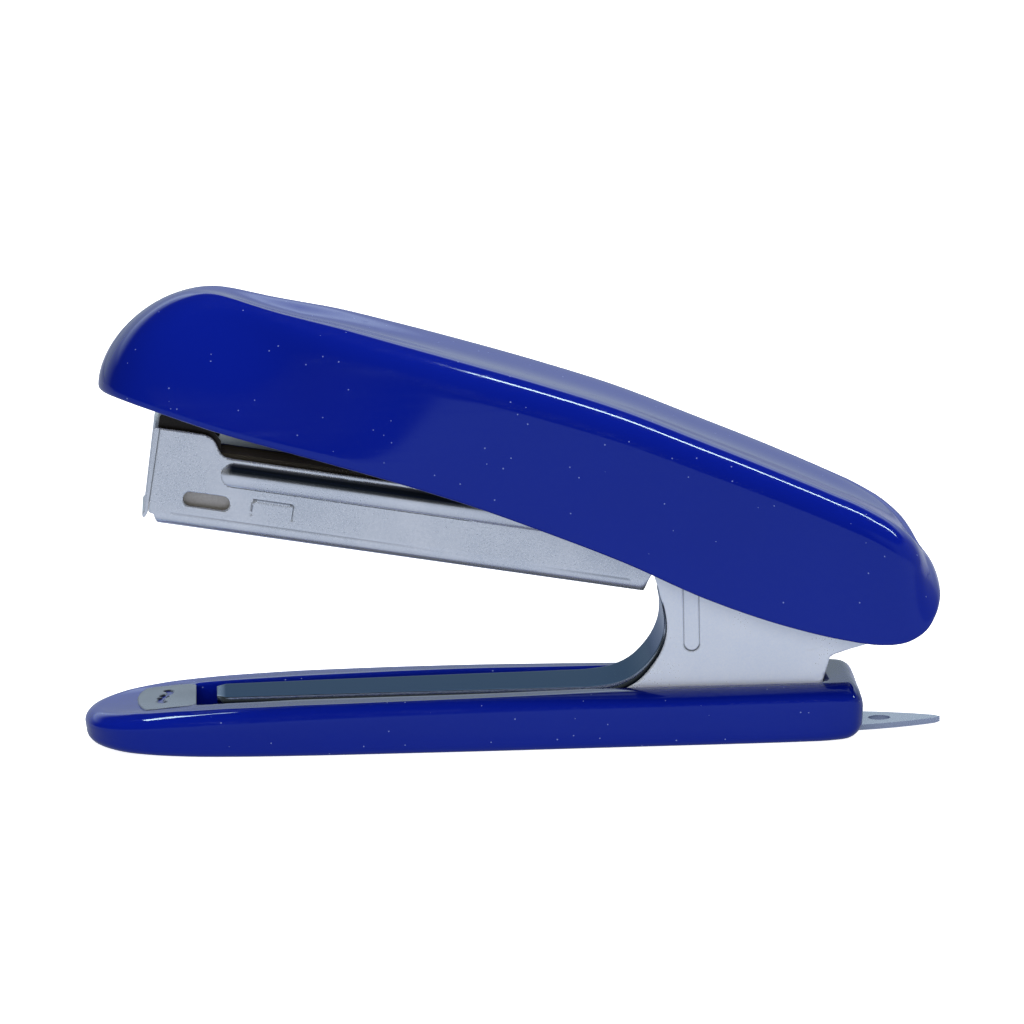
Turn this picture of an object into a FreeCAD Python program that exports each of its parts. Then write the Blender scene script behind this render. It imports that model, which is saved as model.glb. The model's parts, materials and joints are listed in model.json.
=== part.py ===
import FreeCAD, Part
import math
import os

# Hand stapler for small (10-size) staples: a long sprung magazine between a
# pressing handle and a base with anvil, all turning on one rear pin.
#
# Row frame: origin under the middle of the whole object, +Z up, the nose
# (where paper goes in) towards -X, the hinge and the remover tongue towards +X.
# Sizes are in millimetres.

# ---- driving dimensions ----
SHEET = 0.6               # magazine, ear and feeder sheet thickness
CHANNEL_SHEET = 0.8       # base channel sheet thickness
GAP = 0.3                 # free gap between parts that move past each other

PIVOT_X = 46.0            # hinge pin axis
PIVOT_Z = 18.8
PIN_R = 1.5
PIN_PLAY = 0.05           # radial clearance of every leaf that turns on the pin
PIN_END_Y = 7.4           # where the pin's heads start
MAG_TILT = 9.59           # degrees, magazine floor line above the horizontal
PIVOT_W = 4.264           # pin axis above the magazine's floor line

MAG_HALF = 5.5            # magazine outer half width
MAG_FRONT_U = 92.8        # front plate's outer face, from the pin axis
MAG_CORNER_U = 90.4       # front lower corner of the magazine's side walls
MAG_FLOOR_U = 89.75       # front edge of the floor, just behind the blade's way
MAG_LOW_W = 8.9           # side wall height behind the front cheek
MAG_HIGH_W = 11.5         # side wall height at the front cheek
MAG_FLOOR_END_U = 29.4    # rear edge of the floor, just before the base web
FRONT_PLATE = 0.75

BLADE_R = 90.7            # blade front face radius about the pin axis
BLADE_T = 0.5
BLADE_HALF = 4.6
BLADE_TIP_W = 6.1         # blade edge at rest, just above the staple crowns
BLADE_TOP_W = 20.0
BLADE_RIVET_W = 18.2

STAPLE_WIRE = 0.5
STAPLE_HALF = 4.75        # half of the crown length
STAPLE_LEG = 5.0
STAPLE_COUNT = 50
STRIP_FRONT_U = 89.8
RAIL_HALF = 4.1
RAIL_TOP_W = 4.95

FEED_HALF = 4.6           # feeder channel outer half width
FEED_TOP_W = 10.2
FEED_LOW_W = 6.35
ROD_R = 0.8
ROD_W = 7.9
PUSHER_LEN = 8.0
COIL_R = 1.4
COIL_WIRE_R = 0.22
COIL_TURNS = 22

EAR_IN = 5.75             # base ears, inner face
EAR_OUT = 6.35
ARM_IN = 6.6              # handle arm lugs straddle the ears
ARM_OUT = 7.3

COVER_WALL = 1.7
REAR_GAP_HALF = 6.8       # opening in the handle's rear wall, past the ears
REAR_GAP_TOP = 18.2
ARM_SHEET = 0.8
ARM_CLEAR_W = 13.2        # arm underside above the floor line, at the pin
ARM_RISE_DEG = 4.1        # the arm climbs forwards, to leave room for the press
ARM_SCREW_U = (36.0, 72.0)
CLAW_RIVETS = ((37.4, 2.2), (37.4, -2.2))
SPRING_RIVET_X = 25.5
RAIL_RIVET_U = (38.0, 76.0)
BASE_FLOOR = 1.7

ORIGIN = FreeCAD.Vector(0, 0, 0)
Y_DIR = FreeCAD.Vector(0, 1, 0)
Z_DIR = FreeCAD.Vector(0, 0, 1)

# Handle outline by station: X, lower edge Z, half width at the lower edge,
# ridge half width, ridge Z, crown Z on the centre line.
COVER = [
    (-50.9, 47.0, 3.6, 1.2, 47.9, 48.0),
    (-50.2, 46.75, 6.2, 2.2, 49.2, 49.4),
    (-48.8, 46.2, 8.9, 3.2, 51.3, 51.6),
    (-46.8, 45.6, 10.5, 4.0, 53.5, 53.9),
    (-43.5, 44.7, 11.7, 4.6, 55.5, 56.1),
    (-39.5, 43.3, 12.3, 5.0, 56.8, 57.6),
    (-35.0, 41.8, 12.6, 5.4, 57.0, 57.4),
    (-30.0, 40.2, 12.7, 6.0, 56.0, 56.0),
    (-22.0, 37.8, 12.8, 8.0, 53.9, 53.75),
    (-12.0, 34.5, 12.8, 9.1, 51.0, 50.75),
    (0.0, 30.2, 12.8, 9.3, 47.45, 47.15),
    (12.0, 25.4, 12.8, 9.5, 43.4, 43.05),
    (24.0, 19.6, 12.7, 9.5, 38.5, 38.15),
    (33.0, 16.1, 12.4, 9.4, 34.65, 34.35),
    (40.5, 13.9, 11.7, 8.4, 31.15, 30.95),
    (45.5, 13.1, 11.1, 7.2, 28.75, 28.65),
    (49.3, 13.3, 10.2, 6.0, 25.5, 25.5),
    (51.6, 14.3, 9.3, 4.8, 22.4, 22.45),
    (53.1, 15.8, 8.2, 3.6, 19.9, 19.95),
    (53.8, 17.2, 7.2, 3.0, 18.6, 18.65),
]

COVER_CAVITY_END = (52.2, 15.0, 8.9, 4.4, 21.5, 21.55)

# Base outline by station: X, bottom Z, bottom half width, waist Z,
# waist half width, rim Z, rim half width.
BASE = [
    (-54.0, 2.3, 1.6, 3.0, 2.4, 3.7, 1.5),
    (-53.4, 1.7, 3.6, 3.0, 4.8, 4.2, 2.9),
    (-51.6, 1.0, 5.8, 3.2, 7.3, 4.9, 5.0),
    (-48.5, 0.5, 7.8, 3.5, 9.2, 5.35, 6.9),
    (-43.5, 0.2, 9.4, 3.9, 10.5, 5.8, 8.6),
    (-36.0, -0.12, 10.3, 4.2, 11.2, 6.2, 9.8),
    (-27.0, -0.12, 10.6, 4.5, 11.5, 6.5, 10.3),
    (-14.0, -0.12, 10.7, 4.8, 11.5, 6.7, 10.3),
    (-4.0, -0.12, 10.7, 5.0, 11.3, 6.8, 9.9),
    (6.0, -0.12, 10.6, 5.15, 11.2, 6.85, 8.9),
    (15.0, -0.12, 10.5, 5.2, 11.1, 6.9, 8.0),
    (28.0, -0.12, 10.3, 5.3, 10.9, 6.9, 8.0),
    (36.0, -0.12, 10.0, 5.3, 10.65, 6.9, 8.0),
    (39.6, -0.05, 9.8, 5.3, 10.4, 6.9, 7.9),
    (41.3, 0.1, 9.6, 5.2, 10.2, 6.88, 7.6),
    (42.5, 0.6, 9.35, 4.7, 9.95, 6.2, 7.6),
    (43.5, 1.6, 9.0, 4.0, 9.6, 5.3, 7.7),
]


# ---- small helpers ----
def at(x, y, z):
    return FreeCAD.Vector(x, y, z)


def mag(u, w, y=0.0):
    """Magazine coordinates to row frame: u forwards from the pin axis along
    the floor, w up from the floor line."""
    t = math.radians(MAG_TILT)
    h = w - PIVOT_W
    x = PIVOT_X - u * math.cos(t) + h * math.sin(t)
    z = PIVOT_Z + u * math.sin(t) + h * math.cos(t)
    return at(x, y, z)


def polygon(points):
    return Part.makePolygon(list(points) + [points[0]])


def prism(points, direction):
    """A straight prism of a flat closed polygon."""
    return Part.Face(polygon(points)).extrude(direction)


def slab_xz(pairs, y0, y1):
    return prism([at(x, y0, z) for x, z in pairs], at(0, y1 - y0, 0))


def slab_xy(pairs, z0, z1):
    return prism([at(x, y, z0) for x, y in pairs], at(0, 0, z1 - z0))


def slab_mag(pairs, y0, y1):
    return prism([mag(u, w, y0) for u, w in pairs], at(0, y1 - y0, 0))


def box(x0, x1, y0, y1, z0, z1):
    return Part.makeBox(x1 - x0, y1 - y0, z1 - z0, at(x0, y0, z0))


def mag_box(u0, u1, y0, y1, w0, w1):
    return slab_mag([(u0, w0), (u1, w0), (u1, w1), (u0, w1)], y0, y1)


def rod_y(x, z, r, y0, y1):
    return Part.makeCylinder(r, y1 - y0, at(x, y0, z), Y_DIR)


def pin_bore(r, y_limit=30.0):
    return rod_y(PIVOT_X, PIVOT_Z, r, -y_limit, y_limit)


def fuse(shapes):
    body = shapes[0]
    if len(shapes) > 1:
        body = body.multiFuse(shapes[1:])
    return body.removeSplitter()


def both_sides(shape):
    return [shape, shape.mirror(ORIGIN, Y_DIR)]


def spline_points(points, per_span=6):
    """Points along a smooth curve through the given (x, z) pairs."""
    curve = Part.BSplineCurve()
    curve.interpolate([at(x, 0, z) for x, z in points])
    count = per_span * (len(points) - 1)
    return [(p.x, p.z) for p in curve.discretize(count + 1)]


def band_xz(centre_line, thickness, y0, y1):
    """A strip of constant thickness whose middle follows (x, z) pairs."""
    line = [at(x, 0, z) for x, z in centre_line]
    left = []
    right = []
    for i, p in enumerate(line):
        before = line[max(i - 1, 0)]
        after = line[min(i + 1, len(line) - 1)]
        t = (after - before).normalize()
        n = at(-t.z, 0, t.x) * (thickness / 2)
        left.append((p.x + n.x, p.z + n.z))
        right.append((p.x - n.x, p.z - n.z))
    return slab_xz(left + right[::-1], y0, y1)


# ---- lofted plastic shells ----
def smooth_edge(points):
    curve = Part.BSplineCurve()
    curve.interpolate(points)
    return curve.toShape()


def cover_section(row, inset=0.0, drop=0.0):
    """Closed handle section at one station: lower edge, sides, top panel."""
    x, z_low, half, ridge, z_ridge, z_top = row
    half = max(half - inset, 0.8)
    ridge = max(ridge - inset * 0.8, 0.4)
    z_ridge -= inset
    z_top -= inset
    z_low -= drop
    h = z_ridge - z_low
    side = [
        at(x, half, z_low),
        at(x, half + (ridge - half) * 0.04, z_low + 0.32 * h),
        at(x, half + (ridge - half) * 0.22, z_low + 0.66 * h),
        at(x, half + (ridge - half) * 0.58, z_low + 0.91 * h),
        at(x, ridge, z_ridge),
    ]
    other = [at(p.x, -p.y, p.z) for p in side[::-1]]
    top = [side[-1], at(x, 0, z_top), other[0]]
    edges = [
        smooth_edge(side),
        smooth_edge(top),
        smooth_edge(other),
        Part.makeLine(other[-1], side[0]),
    ]
    return Part.Wire(edges)


def base_section(row):
    """Closed base section at one station: flat bottom, sides, shoulder, rim."""
    x, z0, h0, z1, h1, z2, h2 = row
    mid = at(x, h1 * 0.985 + h0 * 0.015, z0 + 0.55 * (z1 - z0))
    side = [
        at(x, h0, z0),
        mid,
        at(x, h1, z1),
        at(x, (h1 + h2) / 2 + 0.12 * (h1 - h2), z1 + 0.72 * (z2 - z1)),
        at(x, h2, z2),
    ]
    other = [at(p.x, -p.y, p.z) for p in side[::-1]]
    edges = [
        smooth_edge(side),
        Part.makeLine(side[-1], other[0]),
        smooth_edge(other),
        Part.makeLine(other[-1], side[0]),
    ]
    return Part.Wire(edges)


def handle_cover():
    outer = Part.makeLoft([cover_section(r) for r in COVER], True, False)
    inner_rows = []
    for row in COVER[2:-2] + [COVER_CAVITY_END]:
        inner_rows.append(cover_section(row, COVER_WALL, 6.0))
    inner = Part.makeLoft(inner_rows, True, False)
    shell = outer.cut(inner)
    # Gap in the rear wall, so the wall passes behind the ears when opened.
    gap = box(46, 60, -REAR_GAP_HALF, REAR_GAP_HALF, 5, REAR_GAP_TOP)
    shell = shell.cut(gap)
    bosses = [screw_boss(u).common(outer) for u in ARM_SCREW_U]
    shell = fuse([shell] + bosses)
    for u in ARM_SCREW_U:
        shell = shell.cut(arm_screw_shaft(u, 0.9, 5.0))
    return shell


def arm_web_w(u):
    """Underside of the handle arm's web: clears the feeder when pressed."""
    return ARM_CLEAR_W + u * math.tan(math.radians(ARM_RISE_DEG))


def screw_axis():
    return (mag(0, 1) - mag(0, 0)).normalize()


def screw_boss(u):
    """Boss under the roof, its foot cut to the slope of the arm's web."""
    foot = mag(u, arm_web_w(u) + ARM_SHEET - 0.5)
    boss = Part.makeCylinder(2.2, 10.0, foot, screw_axis())
    top = [(v, arm_web_w(v) + ARM_SHEET) for v in (u - 8.0, u + 8.0)]
    below = slab_mag(top + [(u + 8.0, 0.0), (u - 8.0, 0.0)], -5, 5)
    return boss.cut(below)


def arm_screw_shaft(u, r, length, start=-0.8):
    foot = mag(u, arm_web_w(u) + start)
    return Part.makeCylinder(r, length, foot, screw_axis())


# ---- base ----
def claw_pocket():
    plan = [(33.6, -4.3), (60, -4.3), (60, 4.3), (33.6, 4.3)]
    return slab_xy(plan, -1, 0.95)


def base_cover():
    body = Part.makeLoft([base_section(r) for r in BASE], True, False)
    body = body.common(box(-60, 60, -20, 20, 0, 20))
    # Long trough for the channel frame and, behind it, the deeper ear pocket.
    trough = slab_xy([(-38.6, 6.35), (-39.4, 5.4), (-39.4, -5.4), (-38.6, -6.35),
                      (-27, -6.8), (-4.4, -7.4), (5.7, -6.8), (16, -6.55),
                      (16, 6.55), (5.7, 6.8), (-4.4, 7.4), (-27, 6.8)],
                     BASE_FLOOR, 9)
    pocket = box(15, 41.6, -6.45, 6.45, BASE_FLOOR, 9)
    body = body.cut(trough).cut(pocket)
    # Seat for the anvil plate with a slot for its fixing tab.
    seat = anvil_outline(0.15, 4.9, 9)
    slot = box(-40.75, -39.0, -2.6, 2.6, BASE_FLOOR, 9)
    body = body.cut(seat).cut(slot)
    body = body.cut(claw_pocket())
    return body.cut(claw_rivet_holes(0.95))


def anvil_outline(grow, z0, z1):
    half = 6.55 + grow
    front = -47.3 - grow
    rear = -40.0 + grow
    pts = [at(rear, -half + 1.5, z0), at(rear, half - 1.5, z0)]
    corner_r = [at(rear - 0.44, half - 0.44, z0), at(rear - 1.5, half, z0)]
    edges = [
        Part.makeLine(pts[0], pts[1]),
        Part.Arc(pts[1], corner_r[0], corner_r[1]).toShape(),
        Part.makeLine(corner_r[1], at(front + 1.4, half, z0)),
        Part.Arc(at(front + 1.4, half, z0), at(front, 0, z0),
                 at(front + 1.4, -half, z0)).toShape(),
        Part.makeLine(at(front + 1.4, -half, z0), at(rear - 1.5, -half, z0)),
        Part.Arc(at(rear - 1.5, -half, z0), at(rear - 0.44, -half + 0.44, z0),
                 pts[0]).toShape(),
    ]
    return Part.Face(Part.Wire(edges)).extrude(at(0, 0, z1 - z0))


def anvil_plate():
    plate = anvil_outline(0.0, 4.95, 6.0)
    # Two slots with rounded floors that curl the staple legs inwards.
    for s in (1, -1):
        cutter = rod_y(-43.6, 6.0, 0.62, -1.85, 1.85)
        cutter.translate(at(0, s * 2.85, 0))
        plate = plate.cut(cutter)
        ramp = slab_xz([(-44.1, 5.5), (-43.1, 5.5), (-43.1, 6.5), (-44.1, 6.5)],
                       s * 2.85 - 1.6, s * 2.85 + 1.6)
        plate = plate.cut(ramp)
    tab = box(-40.6, -40.0, -2.4, 2.4, 2.4, 5.2)
    foot = box(-40.6, -39.1, -2.4, 2.4, 1.9, 2.5)
    return fuse([plate, tab, foot])


EAR_LINE = [(18.4, 24.0), (17.1, 23.3), (17.46, 21.81), (18.18, 19.5),
            (18.77, 16.67), (18.94, 15.39), (18.86, 14.11), (18.59, 12.83),
            (18.07, 11.56), (17.05, 10.18), (15.77, 8.93), (14.5, 8.06),
            (13.24, 7.39), (11.98, 7.05), (10.0, 6.82)]


def base_channel_plan():
    front = [(-37.3, 3.7), (-36.9, 4.3), (-36.2, 4.6)]
    rear = [(12.0, 6.3), (13.5, EAR_OUT), (30.0, EAR_OUT)]
    side = front + rear
    return side + [(x, -y) for x, y in side[::-1]]


def web_line():
    """Middle of the web sheet: along the channel, then up to the free edge."""
    t = CHANNEL_SHEET / 2
    return spline_points([(-37.3, 6.35 - t), (-20, 6.55 - t), (-5, 6.68 - t),
                          (6, 6.76 - t), (10.2, 6.85 - t), (13.3, 7.45 - t),
                          (15.95, 8.85 - t), (17.8, 10.4), (18.85, 12.2),
                          (19.3, 14.2), (19.25, 17.2)], 8)


def side_plate_in_plan(inner):
    """Plan strip of the channel's flanges, SHEET wide."""
    plan = base_channel_plan()
    body = slab_xy(plan, -2, 40)
    core = slab_xy([(x + (0.7 if x < -30 else 0.0), y - math.copysign(inner, y))
                    for x, y in plan], -2, 40)
    return body.cut(core)


def base_frame():
    plan = slab_xy(base_channel_plan(), -2, 40)
    web = band_xz(web_line(), CHANNEL_SHEET, -8, 8).common(plan)
    # Flanges of the front channel, kept within the tapering plan.
    flange_side = slab_xz([(-37.3, 2.4), (16, 2.4), (16, 8.2), (14.5, 7.6),
                           (13.3, 7.0), (10.2, 6.5), (-37.3, 6.0)], -8, 8)
    flanges = side_plate_in_plan(SHEET).common(flange_side)
    ear_front = EAR_LINE[::-1]
    ear = ear_front + [(24, 24.3), (36, 24.6), (43.0, 24.3)]
    lobe = []
    for i in range(9):
        a = math.radians(104 - i * 21)
        lobe.append((PIVOT_X + 4.2 * math.cos(a), PIVOT_Z + 4.2 * math.sin(a)))
    ear = ear + lobe
    ear = ear + [(47.1, 14.5), (46.5, 13.6), (46.1, 12.8), (45.72, 12.02), (42.19, 11.08), (39.67, 10.25),
                 (38.63, 6.81), (38.63, 2.4), (13.0, 2.4), (13.0, 6.0)]
    ears = both_sides(slab_xz(ear, EAR_IN, EAR_OUT))
    floor = box(21.0, 38.63, -EAR_OUT, EAR_OUT, 2.4, 2.4 + SHEET)
    frame = fuse([web, flanges, floor] + ears)
    frame = frame.cut(pin_bore(PIN_R))
    for s in (1, -1):
        frame = frame.cut(ear_groove(s))
    frame = frame.cut(claw_rivet_holes(0.95))
    return frame.cut(Part.makeCylinder(0.95, 6, at(SPRING_RIVET_X, 0, 0), Z_DIR))


def ear_groove(side):
    """Shallow pressed outline with a round lower end on each ear."""
    y = side * EAR_OUT
    depth = 0.12
    y0, y1 = sorted((y - side * depth, y + side * 0.5))
    def capsule(half):
        cx = 22.32
        low = 12.36
        bar = box(cx - half, cx + half, y0, y1, low, 24.0)
        return bar.fuse(rod_y(cx, low, half, y0, y1))
    return capsule(1.02).cut(capsule(0.9))


def claw_rivet_holes(r):
    return Part.makeCompound(
        [Part.makeCylinder(r, 6, at(x, y, -1), Z_DIR) for x, y in CLAW_RIVETS])


def claw_outline(z0, z1):
    tip = (54.0, 0.0)
    half = [(34.0, 3.9), (43.6, 4.0)] + [
        (46.0, 3.55), (48.0, 3.0), (50.0, 2.3), (52.0, 1.5), (53.3, 0.85)]
    pts = half + [tip] + [(x, -y) for x, y in half[::-1]]
    return slab_xy(pts, z0, z1)


def remover_claw():
    claw = claw_outline(0.1, 0.8)
    claw = claw.cut(Part.makeCylinder(1.4, 3, at(46.3, 0, -1), Z_DIR))
    return claw.cut(claw_rivet_holes(0.9))


def claw_rivets():
    out = []
    for x, y in CLAW_RIVETS:
        shank = Part.makeCylinder(0.9, 2.9, at(x, y, 0.1), Z_DIR)
        head = Part.makeCylinder(1.3, 0.5, at(x, y, 3.0), Z_DIR)
        out.append(fuse([shank, head]))
    return Part.makeCompound(out)


def spring_rivet():
    shank = Part.makeCylinder(0.9, 1.0, at(SPRING_RIVET_X, 0, 2.45), Z_DIR)
    head = Part.makeCylinder(1.5, 0.4, at(SPRING_RIVET_X, 0, 3.45), Z_DIR)
    return fuse([shank, head])


def hinge_pin():
    shaft = pin_bore(PIN_R, PIN_END_Y)
    heads = both_sides(rod_y(PIVOT_X, PIVOT_Z, 2.2, PIN_END_Y, PIN_END_Y + 0.5))
    return fuse([shaft] + heads)


def lift_spring():
    line = [(23.5, 3.25), (30.0, 3.25), (33.0, 3.3)]
    for i in range(9):
        a = math.radians(-80 + i * 24)
        line.append((33.5 + 3.1 * math.cos(a), 6.3 + 3.0 * math.sin(a)))
    line = line + [(30.8, 12.0), (29.3, 17.0), (28.3, 20.0), (27.4, 21.3),
                   (26.2, 21.75), (24.8, 21.4)]
    leaf = band_xz(line, 0.4, -3.0, 3.0)
    return leaf.cut(Part.makeCylinder(0.92, 3, at(SPRING_RIVET_X, 0, 2), Z_DIR))


# ---- magazine ----
def magazine_side():
    top = [(92.05, MAG_HIGH_W), (88.5, MAG_HIGH_W), (86.6, MAG_HIGH_W - 0.15),
           (85.9, MAG_HIGH_W - 0.6), (85.1, 10.2), (84.6, 9.4), (84.0, 9.0),
           (82.5, MAG_LOW_W), (40.0, 8.1), (33.0, 8.6), (28.0, 10.3), (24.0, 10.6),
           (6.0, 9.2)]
    lobe = []
    for i in range(8):
        a = math.radians(80 - i * 30)
        lobe.append((-4.3 * math.cos(a), PIVOT_W + 4.3 * math.sin(a)))
    # Raised lower edge behind the floor, clear of the base web when closed.
    low = [(6.0, 1.0), (20.5, 1.6), (23.3, 3.9), (25.7, 6.2), (28.2, 5.5),
           (28.5, 2.0), (28.9, 0.0)]
    front = [(MAG_CORNER_U, 0.0), (91.0, 0.75), (92.05, 0.85)]
    return top + lobe + low + front


def magazine_channel():
    walls = both_sides(slab_mag(magazine_side(), MAG_HALF - SHEET, MAG_HALF))
    floor = mag_box(MAG_FLOOR_END_U, MAG_FLOOR_U, -MAG_HALF, MAG_HALF, 0, SHEET)
    plate = slab_mag([(92.05, 0.55), (92.45, -0.25), (92.8, -0.2), (92.95, 0.2),
                      (MAG_FRONT_U, MAG_HIGH_W - 0.2), (92.05, MAG_HIGH_W - 0.2)],
                     -MAG_HALF, MAG_HALF)
    bridge = mag_box(17.0, 21.5, -MAG_HALF, MAG_HALF, 4.3, 4.9)
    body = fuse(walls + [floor, plate, bridge])
    body = body.cut(mag_window())
    for s in (1, -1):
        body = body.cut(side_rib(s, SHEET, 5.65, 8.0))
    ribs = [side_rib(s, 0.0, 5.35, 8.2) for s in (1, -1)]
    ribs = [r.cut(side_rib(s, SHEET, 5.65, 8.0)) for r, s in zip(ribs, (1, -1))]
    body = fuse([body] + ribs)
    for u in RAIL_RIVET_U:
        body = body.cut(rail_rivet_shaft(u, 1.0))
    return body.cut(pin_bore(PIN_R + PIN_PLAY))


def mag_window():
    a = mag_box(83.2, 87.3, -20, 20, 2.25, 4.1)
    ends = []
    for u in (83.2, 87.3):
        p = mag(u, 3.175)
        ends.append(rod_y(p.x, p.z, 0.925, -20, 20))
    return fuse([a] + ends)


def side_rib(side, inset, w0, w1):
    """Outward bulge pressed into the side wall, rounded in section."""
    y_wall = MAG_HALF - inset - (0.02 if inset else 0.1)
    bulge = 0.42
    mid = (w0 + w1) / 2
    half = (w1 - w0) / 2
    pts = []
    for i in range(9):
        a = math.pi * i / 8
        y = y_wall + (bulge + 0.1) * math.sin(a) ** 0.8
        pts.append(mag(83.2, mid - half * math.cos(a), side * y))
    run = mag(30.5, 0) - mag(83.2, 0)
    return prism(pts, run)


def front_guide():
    """Dark guide for the driver blade: lip above and plate inside the front."""
    lip = slab_mag([(91.05, 0.9), (91.95, 0.9), (91.95, 11.3), (92.3, 11.45),
                    (92.3, 12.6), (91.9, 13.1), (91.05, 13.1)], -4.8, 4.8)
    return lip


def staple_rail():
    top = mag_box(MAG_FLOOR_END_U + 0.6, 89.4, -RAIL_HALF, RAIL_HALF,
                  RAIL_TOP_W - 0.6, RAIL_TOP_W)
    sides = both_sides(mag_box(MAG_FLOOR_END_U + 0.6, 89.4, RAIL_HALF - 0.6,
                               RAIL_HALF, SHEET, RAIL_TOP_W))
    feet = [mag_box(u - 2.5, u + 2.5, -RAIL_HALF, RAIL_HALF, SHEET, 2 * SHEET)
            for u in RAIL_RIVET_U]
    rail = fuse([top] + sides + feet)
    for u in RAIL_RIVET_U:
        rail = rail.cut(rail_rivet_shaft(u, 1.05))
    return rail


def rail_rivet_shaft(u, r):
    foot = mag(u, -1.0)
    return Part.makeCylinder(r, 4.0, foot, screw_axis())


def rail_rivets():
    out = []
    for u in RAIL_RIVET_U:
        shank = Part.makeCylinder(1.0, 1.4, mag(u, 0.1), screw_axis())
        head = Part.makeCylinder(1.7, 0.45, mag(u, 1.2), screw_axis())
        out.append(fuse([shank, head]))
    return Part.makeCompound(out)


def staple_strip():
    """A glued strip: one solid per group of wires, legs down over the rail."""
    crown_w = RAIL_TOP_W + 0.2
    low_w = crown_w + STAPLE_WIRE - STAPLE_LEG
    length = STAPLE_COUNT * STAPLE_WIRE
    u1 = STRIP_FRONT_U
    u0 = u1 - length
    groove = 0.07
    profile_top = [(u0, crown_w), (u1, crown_w)]
    outline = []
    for i in range(STAPLE_COUNT):
        a = u1 - i * STAPLE_WIRE
        outline.append((a - 0.04, crown_w + STAPLE_WIRE - groove))
        outline.append((a - 0.13, crown_w + STAPLE_WIRE))
        outline.append((a - STAPLE_WIRE + 0.13, crown_w + STAPLE_WIRE))
        outline.append((a - STAPLE_WIRE + 0.04, crown_w + STAPLE_WIRE - groove))
    crown = slab_mag(profile_top + outline, -STAPLE_HALF, STAPLE_HALF)
    legs = both_sides(mag_box(u0, u1, STAPLE_HALF - STAPLE_WIRE, STAPLE_HALF,
                              low_w, crown_w + 0.2))
    return fuse([crown] + legs)


# ---- feeder: inverted channel over the staples, with rod, spring, pusher ----
def feeder_channel():
    t = SHEET
    outer = feeder_tube(FEED_HALF, FEED_LOW_W, FEED_TOP_W, 1.3)
    inner = feeder_tube(FEED_HALF - t, FEED_LOW_W - 1, FEED_TOP_W - t, 0.75)
    body = outer.cut(inner)
    # Narrow nose with a down-turned tab that holds the rod's front end.
    nose = mag_box(84.8, 89.5, -3.0, 3.0, FEED_TOP_W - t, FEED_TOP_W)
    tab = mag_box(88.9, 89.5, -3.0, 3.0, FEED_LOW_W, FEED_TOP_W)
    rear_tab = mag_box(12.0, 12.6, -3.99, 3.99, FEED_LOW_W, FEED_TOP_W - 0.1)
    lobe = []
    for i in range(10):
        a = math.radians(90 - i * 20)
        lobe.append((-3.9 * math.cos(a), PIVOT_W + 3.9 * math.sin(a)))
    lug_line = [(14.0, FEED_TOP_W - 1.6), (3.0, 8.2)] + lobe
    lug_line = lug_line + [(3.0, 0.9), (9.0, 3.2), (14.0, FEED_LOW_W)]
    lugs = both_sides(slab_mag(lug_line, FEED_HALF - t, FEED_HALF))
    body = fuse([body, nose, tab, rear_tab] + lugs)
    body = body.cut(feed_rod(ROD_R))
    return body.cut(pin_bore(PIN_R + PIN_PLAY))


def feeder_tube(half, w0, w1, r):
    """Inverted U outline with rounded shoulders, run along the magazine."""
    pts = [(-half, w0), (-half, w1 - r)]
    for i in range(1, 6):
        a = math.radians(180 - 18 * i)
        pts.append((-half + r + r * math.cos(a), w1 - r + r * math.sin(a)))
    right = [(-y, w) for y, w in pts[::-1]]
    section = [mag(85.0, w, y) for y, w in pts + right]
    return prism(section, mag(12.0, 0) - mag(85.0, 0))


def feed_rod(r):
    start = mag(89.2, ROD_W)
    end = mag(12.2, ROD_W)
    return Part.makeCylinder(r, (end - start).Length, start, end - start)


def guide_rod():
    head_a = Part.makeCylinder(1.3, 0.45, mag(12.6, ROD_W), mag(14, 0) - mag(12.6, 0))
    return fuse([feed_rod(ROD_R), head_a])


PUSHER_FRONT_U = STRIP_FRONT_U - STAPLE_COUNT * STAPLE_WIRE - 0.3


def staple_pusher():
    u1 = PUSHER_FRONT_U
    u0 = u1 - PUSHER_LEN
    body = mag_box(u0, u1, -3.6, 3.6, RAIL_TOP_W + GAP, 9.3)
    skirt = mag_box(u0, u1, -4.6, 4.6, RAIL_TOP_W + GAP, 6.0)
    legs = both_sides(mag_box(u0, u1, RAIL_HALF + 0.15, 4.6, 1.0, 6.0))
    pusher = fuse([body, skirt] + legs)
    bore = feed_rod(ROD_R + 0.06)
    return pusher.cut(bore)


def pusher_spring():
    length = (PUSHER_FRONT_U - PUSHER_LEN - 0.15) - 13.4
    helix = Part.makeHelix(length / COIL_TURNS, length, COIL_R)
    start = at(COIL_R, 0, 0)
    circle = Part.Wire(Part.makeCircle(COIL_WIRE_R, start, Y_DIR))
    coil = Part.Wire(helix.Edges).makePipeShell([circle], True, True)
    base = mag(13.3, ROD_W)
    axis = (mag(14.3, ROD_W) - base).normalize()
    turn = FreeCAD.Rotation(Z_DIR, axis)
    coil.Placement = FreeCAD.Placement(base, turn)
    return coil


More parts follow.
